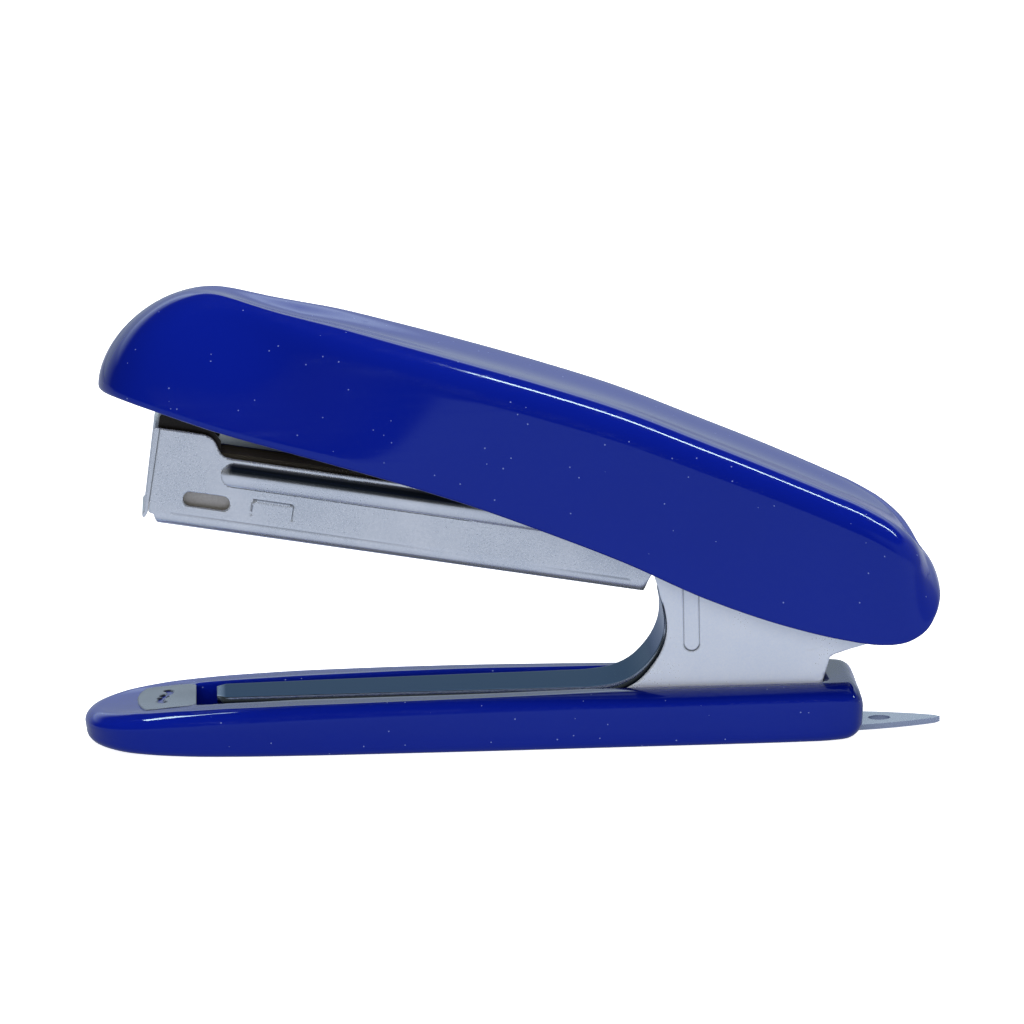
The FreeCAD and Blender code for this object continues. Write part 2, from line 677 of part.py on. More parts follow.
# ---- handle inside the cover ----
def driver_arm():
    t = ARM_SHEET
    rows = (16.0, 30.0, 60.0, 88.6)
    top = [(u, arm_web_w(u) + t) for u in rows]
    low = [(u, arm_web_w(u)) for u in rows[::-1]]
    web = slab_mag(top + low, -ARM_OUT, ARM_OUT)
    side = [(0, ARM_OUT), (34, ARM_OUT), (50, 5.4), (95, 5.4)]
    cut_plan = [mag(u, -30, y) for u, y in side + [(u, -y) for u, y in side[::-1]]]
    taper = prism(cut_plan, screw_axis() * 90)
    web = web.common(taper)
    # Down-turned front tab, curved to lie against the blade's back.
    drop = rod_y(PIVOT_X, PIVOT_Z, BLADE_R - BLADE_T, -4.4, 4.4)
    drop = drop.cut(rod_y(PIVOT_X, PIVOT_Z, BLADE_R - BLADE_T - 1.0, -5, 5))
    drop = drop.common(mag_box(80, 95, -5, 5, 16.7, arm_web_w(88.6) + t))
    lobe = []
    for i in range(10):
        a = math.radians(90 - i * 20)
        lobe.append((-2.9 * math.cos(a), PIVOT_W + 2.9 * math.sin(a)))
    lug_line = [(28.0, arm_web_w(28.0) + 0.4), (16.0, arm_web_w(16.0) + 0.4),
                (5.0, 8.2)] + lobe + [(5.0, 2.6), (16.0, 8.6)]
    lugs = both_sides(slab_mag(lug_line, ARM_IN, ARM_OUT))
    arm = fuse([web, drop] + lugs)
    for u in ARM_SCREW_U:
        arm = arm.cut(arm_screw_shaft(u, 1.0, 6.0, -2.0))
    arm = arm.cut(blade_rivet_shafts(0.75))
    return arm.cut(pin_bore(PIN_R + PIN_PLAY))


def blade_rivet_shafts(r):
    shafts = []
    for y in (-2.6, 2.6):
        foot = mag(86.5, BLADE_RIVET_W, y)
        shafts.append(Part.makeCylinder(r, 5.0, foot, mag(1, 0) - mag(0, 0)))
    return Part.makeCompound(shafts)


def driver_blade():
    """Blade curved about the pin axis, so it slides along itself."""
    outer = rod_y(PIVOT_X, PIVOT_Z, BLADE_R, -BLADE_HALF, BLADE_HALF)
    inner = rod_y(PIVOT_X, PIVOT_Z, BLADE_R - BLADE_T, -9, 9)
    window = mag_box(80, 95, -9, 9, BLADE_TIP_W, BLADE_TOP_W)
    strip = outer.common(window).cut(inner)
    return strip.cut(blade_rivet_shafts(0.7))


def blade_rivets():
    out = []
    for y in (-2.6, 2.6):
        forward = mag(1, 0) - mag(0, 0)
        shank = Part.makeCylinder(0.7, 2.2, mag(87.6, BLADE_RIVET_W, y), forward)
        back = Part.makeCylinder(1.1, 0.35, mag(87.48, BLADE_RIVET_W, y), forward)
        front = Part.makeCylinder(1.1, 0.35, mag(89.79, BLADE_RIVET_W, y), forward)
        out.append(fuse([shank, back, front]))
    return Part.makeCompound(out)


def arm_screws():
    out = []
    for u in ARM_SCREW_U:
        shank = arm_screw_shaft(u, 0.9, 4.4, -0.5)
        head = arm_screw_shaft(u, 1.9, 0.6, -0.76)
        out.append(fuse([shank, head]))
    return Part.makeCompound(out)


def return_spring():
    """Leaf between the feeder's top and the underside of the handle arm."""
    line = []
    for u, w in [(24.0, 10.42), (30.0, 10.42), (36.0, 10.7), (44.0, 12.4),
                 (50.0, 14.6), (54.0, 16.1), (57.0, 16.95), (59.5, 17.0)]:
        p = mag(u, w)
        line.append((p.x, p.z))
    return band_xz(line, 0.35, -3.0, 3.0)


NODES = {
    "base_cover": base_cover,
    "base_frame": base_frame,
    "anvil_plate": anvil_plate,
    "remover_claw": remover_claw,
    "claw_rivets": claw_rivets,
    "spring_rivet": spring_rivet,
    "hinge_pin": hinge_pin,
    "lift_spring": lift_spring,
    "magazine_channel": magazine_channel,
    "front_guide": front_guide,
    "staple_rail": staple_rail,
    "rail_rivets": rail_rivets,
    "staple_strip": staple_strip,
    "feeder_channel": feeder_channel,
    "guide_rod": guide_rod,
    "pusher_spring": pusher_spring,
    "staple_pusher": staple_pusher,
    "handle_cover": handle_cover,
    "driver_arm": driver_arm,
    "driver_blade": driver_blade,
    "blade_rivets": blade_rivets,
    "arm_screws": arm_screws,
    "return_spring": return_spring,
}

os.makedirs("parts", exist_ok=True)
for name, build in NODES.items():
    build().exportStep("parts/" + name + ".step")
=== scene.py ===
"""Hand stapler: the looks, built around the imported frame. Run as a script in Blender 4.5."""

import json
import math

import bpy
import numpy as np
from mathutils import Matrix, Vector


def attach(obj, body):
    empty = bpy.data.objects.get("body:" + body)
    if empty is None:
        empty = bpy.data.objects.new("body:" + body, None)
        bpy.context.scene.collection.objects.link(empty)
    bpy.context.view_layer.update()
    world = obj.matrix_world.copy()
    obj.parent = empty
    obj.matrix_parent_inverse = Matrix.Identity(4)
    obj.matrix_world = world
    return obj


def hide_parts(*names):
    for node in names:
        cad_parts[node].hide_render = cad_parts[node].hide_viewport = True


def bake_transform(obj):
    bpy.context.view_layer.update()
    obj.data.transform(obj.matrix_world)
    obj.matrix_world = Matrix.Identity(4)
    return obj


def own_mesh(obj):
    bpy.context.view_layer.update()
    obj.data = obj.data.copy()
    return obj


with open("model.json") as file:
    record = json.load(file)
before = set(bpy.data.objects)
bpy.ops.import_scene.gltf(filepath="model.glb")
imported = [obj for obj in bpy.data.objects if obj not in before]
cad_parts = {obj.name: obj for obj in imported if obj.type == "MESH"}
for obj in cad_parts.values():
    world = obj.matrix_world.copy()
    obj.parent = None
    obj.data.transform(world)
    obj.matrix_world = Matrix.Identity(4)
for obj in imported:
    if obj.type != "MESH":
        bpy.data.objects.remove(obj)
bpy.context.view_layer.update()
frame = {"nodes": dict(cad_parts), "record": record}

bl_info = {
    "name": "Hand stapler",
    "version": (1, 0, 0),
    "blender": (4, 5, 0),
    "location": "View3D > Sidebar > Stapler",
    "description": "Moulded covers, plated sheet steel and staples of a slim hand stapler",
    "category": "Mesh",
}

# Sizes and places are in millimetres, in the frame's own axes.
MM = 0.001
NODES = frame["nodes"]
# Hinge pin's middle, its height over the magazine's floor, and the
# magazine's tilt at rest.
PIVOT = np.array([46.0, 0.0, 18.8])
PIVOT_W = 4.264
MAG_TILT = math.radians(9.59)

# Handle, half of its outline from nose to rear. Each row: a point of the
# lower rim (x, y, z), the point of the top ridge above it (x, y, z), how far
# the side swells like a nose instead of a flat wall, and the shoulder radius.
HANDLE = np.array([
    (-51.20, 0.0, 46.10, -38.70, 0.0, 57.60, 1.00, 3.0),
    (-51.05, 2.8, 46.15, -38.55, 0.8, 57.60, 1.00, 3.0),
    (-50.40, 5.6, 46.20, -38.10, 1.7, 57.62, 1.00, 3.0),
    (-49.10, 8.2, 46.10, -37.20, 2.6, 57.65, 0.97, 3.0),
    (-47.20, 10.1, 45.70, -35.90, 3.4, 57.50, 0.90, 3.0),
    (-44.50, 11.4, 44.95, -34.20, 4.2, 57.10, 0.75, 3.2),
    (-41.00, 12.15, 43.80, -32.00, 5.0, 56.45, 0.55, 3.4),
    (-36.50, 12.55, 42.25, -29.50, 5.7, 55.72, 0.34, 3.6),
    (-30.50, 12.7, 40.35, -26.00, 6.5, 54.85, 0.14, 4.0),
    (-23.00, 12.8, 38.05, -21.00, 7.4, 53.65, 0.03, 4.0),
    (-14.00, 12.8, 35.20, -13.50, 8.0, 51.50, 0.0, 4.0),
    (-5.80, 12.8, 32.40, -5.80, 8.3, 49.20, 0.0, 4.0),
    (4.00, 12.8, 28.60, 4.00, 8.5, 46.15, 0.0, 4.0),
    (13.90, 12.8, 24.45, 13.90, 8.6, 42.75, 0.0, 4.0),
    (23.80, 12.8, 19.70, 23.60, 8.7, 38.70, 0.0, 4.0),
    (33.80, 12.7, 15.95, 33.00, 8.6, 34.65, 0.0, 4.0),
    (41.00, 12.3, 13.95, 39.60, 8.1, 31.65, 0.0, 4.4),
    (46.00, 11.8, 13.05, 44.00, 7.4, 29.50, 0.0, 4.6),
    (49.50, 11.15, 13.20, 46.90, 6.5, 27.65, 0.0, 4.6),
    (51.60, 10.1, 14.25, 48.80, 5.3, 26.05, 0.0, 4.2),
    (52.90, 8.5, 15.85, 50.00, 3.9, 24.65, 0.08, 3.4),
    (53.60, 6.2, 17.25, 50.80, 2.4, 23.50, 0.25, 2.4),
    (53.85, 3.2, 18.00, 51.20, 1.2, 22.80, 0.6, 1.3),
    (53.90, 0.0, 18.20, 51.30, 0.0, 22.60, 0.7, 1.2),
])
# Depth of the shallow dish in the handle's top panel, by x.
DISH_X = (-38.7, -35.0, -31.0, -26.0, -19.0, -10.0, 0.0, 40.0, 47.0, 51.3)
DISH = (0.0, 0.15, 0.45, 0.7, 0.6, 0.42, 0.35, 0.35, 0.2, 0.0)

# Base, half of its outline from nose to rear. Each row: waist (x, y, z),
# rim's outer edge (x, y), trough edge (x, y), lower side (x, y, z) and the
# edge of the flat bottom (x, y, z).
BASE = np.array([
    (-54.0, 0.0, 3.10, -51.9, 0.0, -40.1, 0.0, -53.85, 0.0, 2.00, -51.6, 0.0, 0.45),
    (-53.8, 2.2, 3.10, -51.75, 1.4, -40.1, 2.4, -53.65, 2.15, 1.95, -51.4, 2.05, 0.45),
    (-53.2, 4.5, 3.15, -51.3, 2.9, -40.05, 4.4, -53.0, 4.4, 1.90, -50.8, 4.1, 0.42),
    (-52.0, 6.6, 3.25, -50.3, 4.6, -39.9, 5.7, -51.7, 6.45, 1.80, -49.6, 6.0, 0.38),
    (-50.2, 8.4, 3.40, -48.6, 6.2, -39.5, 6.2, -49.85, 8.2, 1.70, -47.8, 7.5, 0.30),
    (-47.5, 9.8, 3.60, -46.0, 7.6, -38.6, 6.4, -47.1, 9.55, 1.60, -45.0, 8.7, 0.22),
    (-43.5, 10.8, 3.90, -42.3, 8.8, -36.5, 6.5, -43.0, 10.5, 1.50, -41.0, 9.5, 0.12),
    (-37.0, 11.35, 4.20, -36.2, 9.75, -31.0, 6.65, -36.6, 11.05, 1.35, -35.2, 9.95, 0.04),
    (-27.0, 11.6, 4.50, -27.0, 10.3, -24.5, 6.9, -27.0, 11.3, 1.25, -26.5, 10.2, 0.0),
    (-14.0, 11.6, 4.80, -14.5, 10.3, -14.0, 7.3, -14.0, 11.35, 1.20, -14.0, 10.25, 0.0),
    (-4.0, 11.5, 5.00, -4.5, 9.9, -4.4, 7.4, -4.0, 11.3, 1.20, -4.0, 10.2, 0.0),
    (6.0, 11.3, 5.15, 5.6, 8.9, 5.0, 6.9, 6.0, 11.15, 1.20, 6.0, 10.0, 0.0),
    (16.0, 11.15, 5.20, 15.0, 7.6, 15.0, 6.5, 16.0, 10.95, 1.20, 16.0, 9.8, 0.0),
    (28.0, 11.0, 5.25, 28.0, 7.15, 27.0, 6.5, 28.0, 10.75, 1.20, 28.0, 9.6, 0.0),
    (36.0, 10.8, 5.25, 35.5, 6.95, 35.0, 6.5, 36.0, 10.5, 1.25, 36.0, 9.3, 0.0),
    (40.5, 10.5, 5.20, 39.8, 6.7, 38.0, 6.45, 40.3, 10.2, 1.50, 39.2, 8.9, 0.0),
    (42.6, 9.9, 4.90, 41.2, 6.2, 38.8, 6.0, 42.5, 9.6, 2.00, 40.9, 8.2, 0.0),
    (43.5, 8.6, 4.20, 41.6, 5.4, 39.0, 5.0, 43.4, 8.4, 2.30, 41.4, 7.2, 0.0),
    (43.7, 6.0, 3.90, 41.75, 3.6, 39.0, 3.4, 43.65, 6.0, 2.30, 41.5, 5.0, 0.0),
    (43.7, 0.0, 3.90, 41.75, 0.0, 39.0, 0.0, 43.65, 0.0, 2.30, 41.5, 0.0, 0.0),
])
# Height of the base's rim along x.
RIM_X = (-54.0, -51.9, -47.4, -42.6, -36.2, -27.0, -14.5, -4.5, 5.6, 12.0, 41.8)
RIM_Z = (4.2, 4.75, 5.4, 5.85, 6.2, 6.5, 6.7, 6.8, 6.88, 6.93, 6.95)
# Round of the recess's lip, and where the recess's front end begins.
LIP = 0.3
RECESS_FRONT_X = -38.0
# Share of the way up the handle's side at which its shoulder starts.
SHOULDER_START = 0.62
# Magazine: half its width, the radius of its folds and its height in front.
MAG_HALF = 5.5
MAG_BEND = 0.9
MAG_TOP_W = 11.5
# Staple window in the magazine's side, by the middles of its round ends.
WINDOW_U = (83.0, 87.09)
WINDOW_W = 3.17
WINDOW_R = 0.925
# Bead pressed out of the magazine's side: its middle line and half width.
BEAD_LINE = np.array([(82.2, 6.86), (30.9, 6.82)])
BEAD_HALF = 1.2
# Lines pressed in the magazine's side: the outline of a staple, and the hem.
PICTOGRAM = ((74.2, 2.3, 74.2, 4.25), (74.2, 4.25, 79.3, 4.25), (79.3, 4.25, 79.3, 2.3))
HEM = ((89.3, 1.15, 60.0, 1.05), (60.0, 1.05, 31.0, 0.9))
# Guide rod's height over the magazine's floor, and the coil round it.
ROD_W = 7.9
COIL_R = 1.4
COIL_WIRE_R = 0.22
COIL_ENDS = (13.4, 56.35)
# Half width of both leaf springs, and their middle lines: the first along the
# magazine, the second in x and z.
LEAF_HALF = 3.0
RETURN_LEAF = ((24.0, 10.42), (30.0, 10.42), (36.0, 10.7), (44.0, 12.4), (50.0, 14.6),
               (54.0, 16.1), (57.0, 16.95), (59.5, 17.0))
LIFT_LEAF = ((23.5, 3.25), (30.0, 3.25), (33.0, 3.3), (34.04, 3.35), (35.24, 3.83),
             (36.15, 4.75), (36.58, 5.93), (36.48, 7.18), (35.87, 8.28), (34.84, 9.01),
             (33.61, 9.3), (32.38, 9.09), (30.8, 12.0), (29.3, 17.0), (28.3, 20.0),
             (27.4, 21.3), (26.2, 21.75), (24.8, 21.4))
# Outer face of the base channel's web, and the ears' free edge, in x and z.
WEB_LINE = ((-37.3, 6.38), (-20.0, 6.6), (-5.0, 6.75), (6.0, 6.85), (10.2, 6.95), (12.6, 7.3),
            (14.8, 8.2), (16.9, 10.05), (18.2, 12.0), (18.8, 13.8), (18.9, 15.4), (18.66, 17.3))
EAR_FREE_EDGE = ((18.78, 17.5), (18.56, 17.95), (18.18, 19.5), (17.46, 21.81),
                 (17.1, 23.3), (18.4, 24.0), (24.0, 24.3), (36.0, 24.6), (43.0, 24.3))
EAR_LOWER_EDGE = ((47.1, 14.5), (46.5, 13.6), (46.1, 12.8), (45.72, 12.02), (42.19, 11.08),
                  (40.3, 10.5), (39.67, 10.15), (39.5, 9.6), (38.63, 6.81), (38.63, 3.0))
EAR_FRONT_X = 12.6
EAR_Y = 6.35
# Slot outline pressed in the ears up to their top edge, and two spot welds.
SLOT_LINE = np.array([(22.32, 24.0), (22.32, 12.36)])
SLOT_HALF = 0.98
SPOT_WELDS = ((38.0, 8.6), (37.2, 12.3))
# Brightness of the studio's back wall by the sine of its height.
WALL = ((0.0, 0.50), (0.2, 0.54), (0.27, 0.62), (0.33, 1.25), (0.42, 0.95), (0.55, 0.06),
        (1.0, 0.04))


# ---- arrays and meshes ----
def hermite(knots, values, where):
    """Smooth curve through rows of values at the knots: on each span a cubic
    whose end slopes are the weighted mean of the slopes on both sides."""
    h = np.diff(knots)[:, None]
    slope = np.diff(values, axis=0) / h
    m = np.empty_like(values)
    m[1:-1] = (slope[:-1] * h[1:] + slope[1:] * h[:-1]) / (h[1:] + h[:-1])
    m[0], m[-1] = slope[0], slope[-1]
    i = np.clip(np.searchsorted(knots, where) - 1, 0, len(knots) - 2)
    d = (knots[i + 1] - knots[i])[:, None]
    t = ((where - knots[i])[:, None]) / d
    return ((2 * t**3 - 3 * t**2 + 1) * values[i] + (t**3 - 2 * t**2 + t) * d * m[i]
            + (3 * t**2 - 2 * t**3) * values[i + 1] + (t**3 - t**2) * d * m[i + 1])


def half_loop(rows, sign_columns, count):
    """Resamples a half outline, nose to rear, at count + 1 even steps of
    length along its first three columns. The outline is reflected past both
    ends first (y columns change sign), so it crosses the middle squarely."""
    flip = np.ones(rows.shape[1])
    flip[list(sign_columns)] = -1.0
    full = np.vstack([rows[3:0:-1] * flip, rows, rows[-2:-5:-1] * flip])
    step = np.linalg.norm(np.diff(full[:, :3], axis=0), axis=1)
    knots = np.concatenate([[0.0], np.cumsum(step)])
    where = np.linspace(knots[3], knots[3 + len(rows) - 1], count + 1)
    return hermite(knots, full, where)


def whole_loop(half):
    """Half loops (rows, count + 1, 3) to closed loops (rows, 2 * count, 3):
    the near half as it is at -y, the far half its mirror image."""
    near = half * np.array([1.0, -1.0, 1.0])
    return np.concatenate([near, half[:, -2:0:-1]], axis=1)


def ring_faces(rows, cols):
    """Quads between neighbouring rows of a grid whose columns close."""
    r, c = np.meshgrid(np.arange(rows - 1), np.arange(cols), indexing="ij")
    a = r * cols + c
    b = r * cols + (c + 1) % cols
    return np.stack([a, b, b + cols, a + cols], axis=-1).reshape(-1, 4)


def seam_faces(start, cols, flip=False):
    """Strip that joins the two mirrored halves of one closed row."""
    half = cols // 2
    k = np.arange(half)
    a, b = k, k + 1
    c, d = (cols - k - 1) % cols, (cols - k) % cols
    quads = np.stack([a, b, c, d], axis=-1) + start
    if flip:
        quads = quads[:, ::-1]
    faces = [tuple(q) for q in quads[1:-1].tolist()]
    for q in (quads[0].tolist(), quads[-1].tolist()):
        faces.append(tuple(dict.fromkeys(q)))
    return faces


def closed_shell(rows, outwards=True):
    """Points and faces of closed loops in a row, with both ends seamed shut."""
    count, cols = rows.shape[:2]
    quads = ring_faces(count, cols)
    if not outwards:
        quads = quads[:, ::-1]
    faces = [tuple(f) for f in quads.tolist()]
    faces += seam_faces(0, cols, flip=outwards)
    faces += seam_faces((count - 1) * cols, cols, flip=not outwards)
    return rows.reshape(-1, 3), faces


def put_mesh(name, verts, faces, material, smooth=True):
    """A new object from points in millimetres and faces."""
    mesh = bpy.data.meshes.new(name)
    mesh.from_pydata((np.asarray(verts) * MM).tolist(), [], [tuple(f) for f in faces])
    mesh.validate()
    if smooth:
        mesh.polygons.foreach_set("use_smooth", np.ones(len(mesh.polygons), bool))
    mesh.update()
    obj = bpy.data.objects.new(name, mesh)
    bpy.context.scene.collection.objects.link(obj)
    mesh.materials.append(material)
    return obj


def inside(points, loop):
    """Even-odd test of points against one closed loop of corners."""
    x, y = points[:, 0:1], points[:, 1:2]
    a, b = loop, np.roll(loop, -1, axis=0)
    rise = np.where(b[:, 1] == a[:, 1], 1.0, b[:, 1] - a[:, 1])
    cross = a[:, 0] + (y - a[:, 1]) * (b[:, 0] - a[:, 0]) / rise
    return ((((a[:, 1] > y) != (b[:, 1] > y)) & (x < cross)).sum(axis=1) % 2) == 1


def from_line(points, a, b):
    """Distance from points to the stretches a to b, and the feet on them."""
    d = b - a
    t = ((points[:, None] - a) * d).sum(axis=2) / np.maximum((d * d).sum(axis=1), 1e-12)
    foot = a + np.clip(t, 0, 1)[:, :, None] * d
    gap = np.linalg.norm(points[:, None] - foot, axis=2)
    best = gap.argmin(axis=1)
    pick = np.arange(len(points))
    return gap[pick, best], foot[pick, best]


def blanked(us, ws, loops):
    """Flat blank cut from a grid along loops: cells whose middle lies inside
    an odd number of loops stay, and the rim's corners slide onto the loops."""
    grid_u, grid_w = np.meshgrid(us, ws, indexing="ij")
    points = np.column_stack([grid_u.ravel(), grid_w.ravel()])
    i, j = np.meshgrid(np.arange(len(us) - 1), np.arange(len(ws) - 1), indexing="ij")
    a = (i * len(ws) + j).ravel()
    cells = np.stack([a, a + len(ws), a + len(ws) + 1, a + 1], axis=1)
    keep = np.zeros(len(cells), bool)
    for loop in loops:
        keep ^= inside(points[cells].mean(axis=1), loop)
    cells = cells[keep]
    used = np.bincount(cells.ravel(), minlength=len(points))
    rim = (used > 0) & (used < 4)
    starts = np.vstack(loops)
    ends = np.vstack([np.roll(loop, -1, axis=0) for loop in loops])
    points[rim] = from_line(points[rim], starts, ends)[1]
    index = np.cumsum(used > 0) - 1
    return points[used > 0], index[cells]


def mark_painted_shade(obj, share):
    """Stores, as a point attribute, how much painted shade each point of a sheet gets: a dark
    colour standing in for shade and dark reflections, with a polish.
    """
    mark = obj.data.attributes.new("painted_shade", "FLOAT", "POINT")
    mark.data.foreach_set("value", np.asarray(share, np.float32))


def groove(points, lines, half, depth):
    """Rounded groove of a given half width along straight stretches."""
    lines = np.asarray(lines, float)
    gap = from_line(points, lines[:, 0:2], lines[:, 2:4])[0]
    return -depth * np.clip(1 - (gap / half) ** 2, 0, 1) ** 1.5


def thicken(obj, thickness, offset=-1.0):
    """Gives a sheet its thickness; -1 adds it behind the outer face."""
    solid = obj.modifiers.new("sheet", "SOLIDIFY")
    solid.thickness = thickness * MM
    solid.offset = offset
    solid.use_even_offset = True
    return obj


def rolled(profile, y0, y1, name, material, soft=0.0):
    """Bar of constant section: an outline in x and z drawn out along y."""
    count = len(profile)
    ends = [np.column_stack([profile[:, 0], np.full(count, y), profile[:, 1]])
            for y in (y0, y1)]
    faces = [tuple(range(count)), tuple(range(2 * count - 1, count - 1, -1))]
    faces += [(i, i + count, (i + 1) % count + count, (i + 1) % count) for i in range(count)]
    area = (profile[:, 0] * np.roll(profile[:, 1], -1)
            - np.roll(profile[:, 0], -1) * profile[:, 1]).sum()
    if area < 0:
        faces = [f[::-1] for f in faces]
    obj = put_mesh(name, np.vstack(ends), faces, material, False)
    if soft:
        bevel = obj.modifiers.new("edges", "BEVEL")
        bevel.width = soft * MM
        bevel.segments = 3
        bevel.limit_method = "ANGLE"
    return obj


def grid_normals(grid):
    """Unit normals of a closed-column grid by central differences."""
    du = np.roll(grid, -1, axis=1) - np.roll(grid, 1, axis=1)
    dv = np.gradient(grid, axis=0)
    n = np.cross(du, dv)
    return n / np.maximum(np.linalg.norm(n, axis=2, keepdims=True), 1e-9)


# ---- materials ----
def to_linear(code):
    """sRGB hex to linear red, green, blue."""
    srgb = np.array([int(code[i:i + 2], 16) for i in (1, 3, 5)]) / 255.0
    linear = np.where(srgb <= 0.04045, srgb / 12.92, ((srgb + 0.055) / 1.055) ** 2.4)
    return tuple(linear.tolist())


def shades(dark, light):
    """Darkest and lightest shade of a finish, from sRGB hex."""
    return to_linear(dark), to_linear(light)


def add_node(tree, kind, settings=(), inputs=(), links=()):
    """One node with its properties, input values and incoming links."""
    node = tree.nodes.new(kind)
    for key, value in dict(settings).items():
        setattr(node, key, value)
    for key, value in dict(inputs).items():
        node.inputs[key].default_value = value
    for key, socket in dict(links).items():
        tree.links.new(socket, node.inputs[key])
    return node


def new_material(name, values):
    """Material with a Principled shader whose plain sockets are set here."""
    material = bpy.data.materials.new(name)
    material.use_nodes = True
    tree = material.node_tree
    shader = tree.nodes["Principled BSDF"]
    for key, value in values.items():
        shader.inputs[key].default_value = value
    return material, tree, shader


def mix_shades(tree, factor, dark, light):
    """Colour between two shades by a pattern's value."""
    mix = add_node(tree, "ShaderNodeMix", {"data_type": "RGBA"})
    mix.inputs[6].default_value = (*dark, 1)
    mix.inputs[7].default_value = (*light, 1)
    tree.links.new(factor, mix.inputs[0])
    return mix.outputs[2]


def moulded_abs(name, tones):
    """Injection-moulded ABS from a polished mould: deep even colour, mirror
    gloss with the faintest flow ripple, and a few rubbed hairlines and specks
    of lint from handling. Its pigment takes some red out of what it mirrors."""
    material, tree, shader = new_material(name, {"IOR": 1.47,
                                                 "Specular Tint": (0.7, 1.0, 1.0, 1.0)})
    coords = add_node(tree, "ShaderNodeTexCoord").outputs["Object"]
    # Flow ripple, about 9 mm long and a few microns high.
    ripple = add_node(tree, "ShaderNodeTexNoise", {}, {"Scale": 110.0, "Detail": 2.0},
                      {"Vector": coords})
    # Uneven pigment in clouds of about 20 mm.
    cloud = add_node(tree, "ShaderNodeTexNoise", {}, {"Scale": 45.0, "Detail": 3.0},
                     {"Vector": coords})
    # Lint specks about 0.2 mm across in a third of the 1 mm cells.
    cell = add_node(tree, "ShaderNodeTexVoronoi", {"feature": "F1"}, {"Scale": 950.0},
                    {"Vector": coords})
    near = add_node(tree, "ShaderNodeMath", {"operation": "LESS_THAN"}, {1: 0.09},
                    {0: cell.outputs["Distance"]})
    pick = add_node(tree, "ShaderNodeSeparateColor", {}, {}, {0: cell.outputs["Color"]})
    rare = add_node(tree, "ShaderNodeMath", {"operation": "GREATER_THAN"}, {1: 0.7},
                    {0: pick.outputs[0]})
    speck = add_node(tree, "ShaderNodeMath", {"operation": "MULTIPLY"}, {},
                     {0: near.outputs[0], 1: rare.outputs[0]})
    fade = add_node(tree, "ShaderNodeMath", {"operation": "MULTIPLY"}, {1: 0.45},
                    {0: speck.outputs[0]})
    body = mix_shades(tree, cloud.outputs[0], *tones)
    tinted = add_node(tree, "ShaderNodeMix", {"data_type": "RGBA"})
    tree.links.new(fade.outputs[0], tinted.inputs[0])
    tree.links.new(body, tinted.inputs[6])
    tinted.inputs[7].default_value = (*to_linear("#9FB0E8"), 1)
    tree.links.new(tinted.outputs[2], shader.inputs["Base Color"])
    # Hairline rubs: noise stretched 40 to 1 along x.
    stretch = add_node(tree, "ShaderNodeMapping", {}, {"Scale": (60.0, 900.0, 2400.0),
                                                       "Rotation": (0.0, 0.35, 0.0)},
                       {"Vector": coords})
    hair = add_node(tree, "ShaderNodeTexNoise", {}, {"Scale": 1.0, "Detail": 3.0},
                    {"Vector": stretch.outputs[0]})
    rough = add_node(tree, "ShaderNodeMapRange", {},
                     {"From Min": 0.55, "From Max": 0.8, "To Min": 0.07, "To Max": 0.2},
                     {0: hair.outputs[0]})
    tree.links.new(rough.outputs[0], shader.inputs["Roughness"])
    bump = add_node(tree, "ShaderNodeBump", {}, {"Strength": 0.02, "Distance": 0.0004},
                    {"Height": ripple.outputs[0]})
    tree.links.new(bump.outputs[0], shader.inputs["Normal"])
    return material


def plated_sheet(name, tones, rough, metal=0.84, edge=(1.0, 1.0, 1.0)):
    """Cold-rolled sheet steel, barrel plated with zinc and nickel: pale cool
    grey, satin, with a fine mottle of spangle and short random scuffs. A point
    attribute paints shade: where it is 1 the colour is painted dark, standing in
    for shade and dark reflections, and the surface is polished. Metal below 1
    stands for the dull film on the plating; edge tints what it mirrors at a slant."""
    material, tree, shader = new_material(name, {"Metallic": metal,
                                                 "Specular Tint": (*edge, 1.0)})
    coords = add_node(tree, "ShaderNodeTexCoord").outputs["Object"]
    # Spangle about 0.25 mm, and soft patches of about 8 mm.
    spangle = add_node(tree, "ShaderNodeTexNoise", {}, {"Scale": 4200.0, "Detail": 3.0,
                                                        "Roughness": 0.6},
                       {"Vector": coords})
    patch = add_node(tree, "ShaderNodeTexNoise", {}, {"Scale": 120.0, "Detail": 2.0},
                     {"Vector": coords})
    both = add_node(tree, "ShaderNodeMath", {"operation": "ADD"}, {},
                    {0: spangle.outputs[0], 1: patch.outputs[0]})
    tone = add_node(tree, "ShaderNodeMapRange", {}, {"From Min": 0.6, "From Max": 1.4},
                    {0: both.outputs[0]})
    colour = mix_shades(tree, tone.outputs[0], *tones)
    painted_shade = add_node(tree, "ShaderNodeAttribute", {"attribute_name": "painted_shade"})
    # Painted shade: the attribute mixes the colour towards dark slate #2A333F, standing in for
    # shade and dark reflections.
    with_painted_shade = add_node(tree, "ShaderNodeMix", {"data_type": "RGBA"})
    with_painted_shade.inputs[7].default_value = (*to_linear("#2A333F"), 1)
    tree.links.new(painted_shade.outputs["Fac"], with_painted_shade.inputs[0])
    tree.links.new(colour, with_painted_shade.inputs[6])
    tree.links.new(with_painted_shade.outputs[2], shader.inputs["Base Color"])
    satin = add_node(tree, "ShaderNodeMapRange", {},
                     {"From Min": 0.6, "From Max": 1.4,
                      "To Min": rough + 0.05, "To Max": rough - 0.05},
                     {0: both.outputs[0]})
    sleek = add_node(tree, "ShaderNodeMix", {"data_type": "FLOAT"}, {3: 0.12},
                     {0: painted_shade.outputs["Fac"], 2: satin.outputs[0]})
    tree.links.new(sleek.outputs[0], shader.inputs["Roughness"])
    bump = add_node(tree, "ShaderNodeBump", {}, {"Strength": 0.05, "Distance": 0.00005},
                    {"Height": spangle.outputs[0]})
    tree.links.new(bump.outputs[0], shader.inputs["Normal"])
    return material


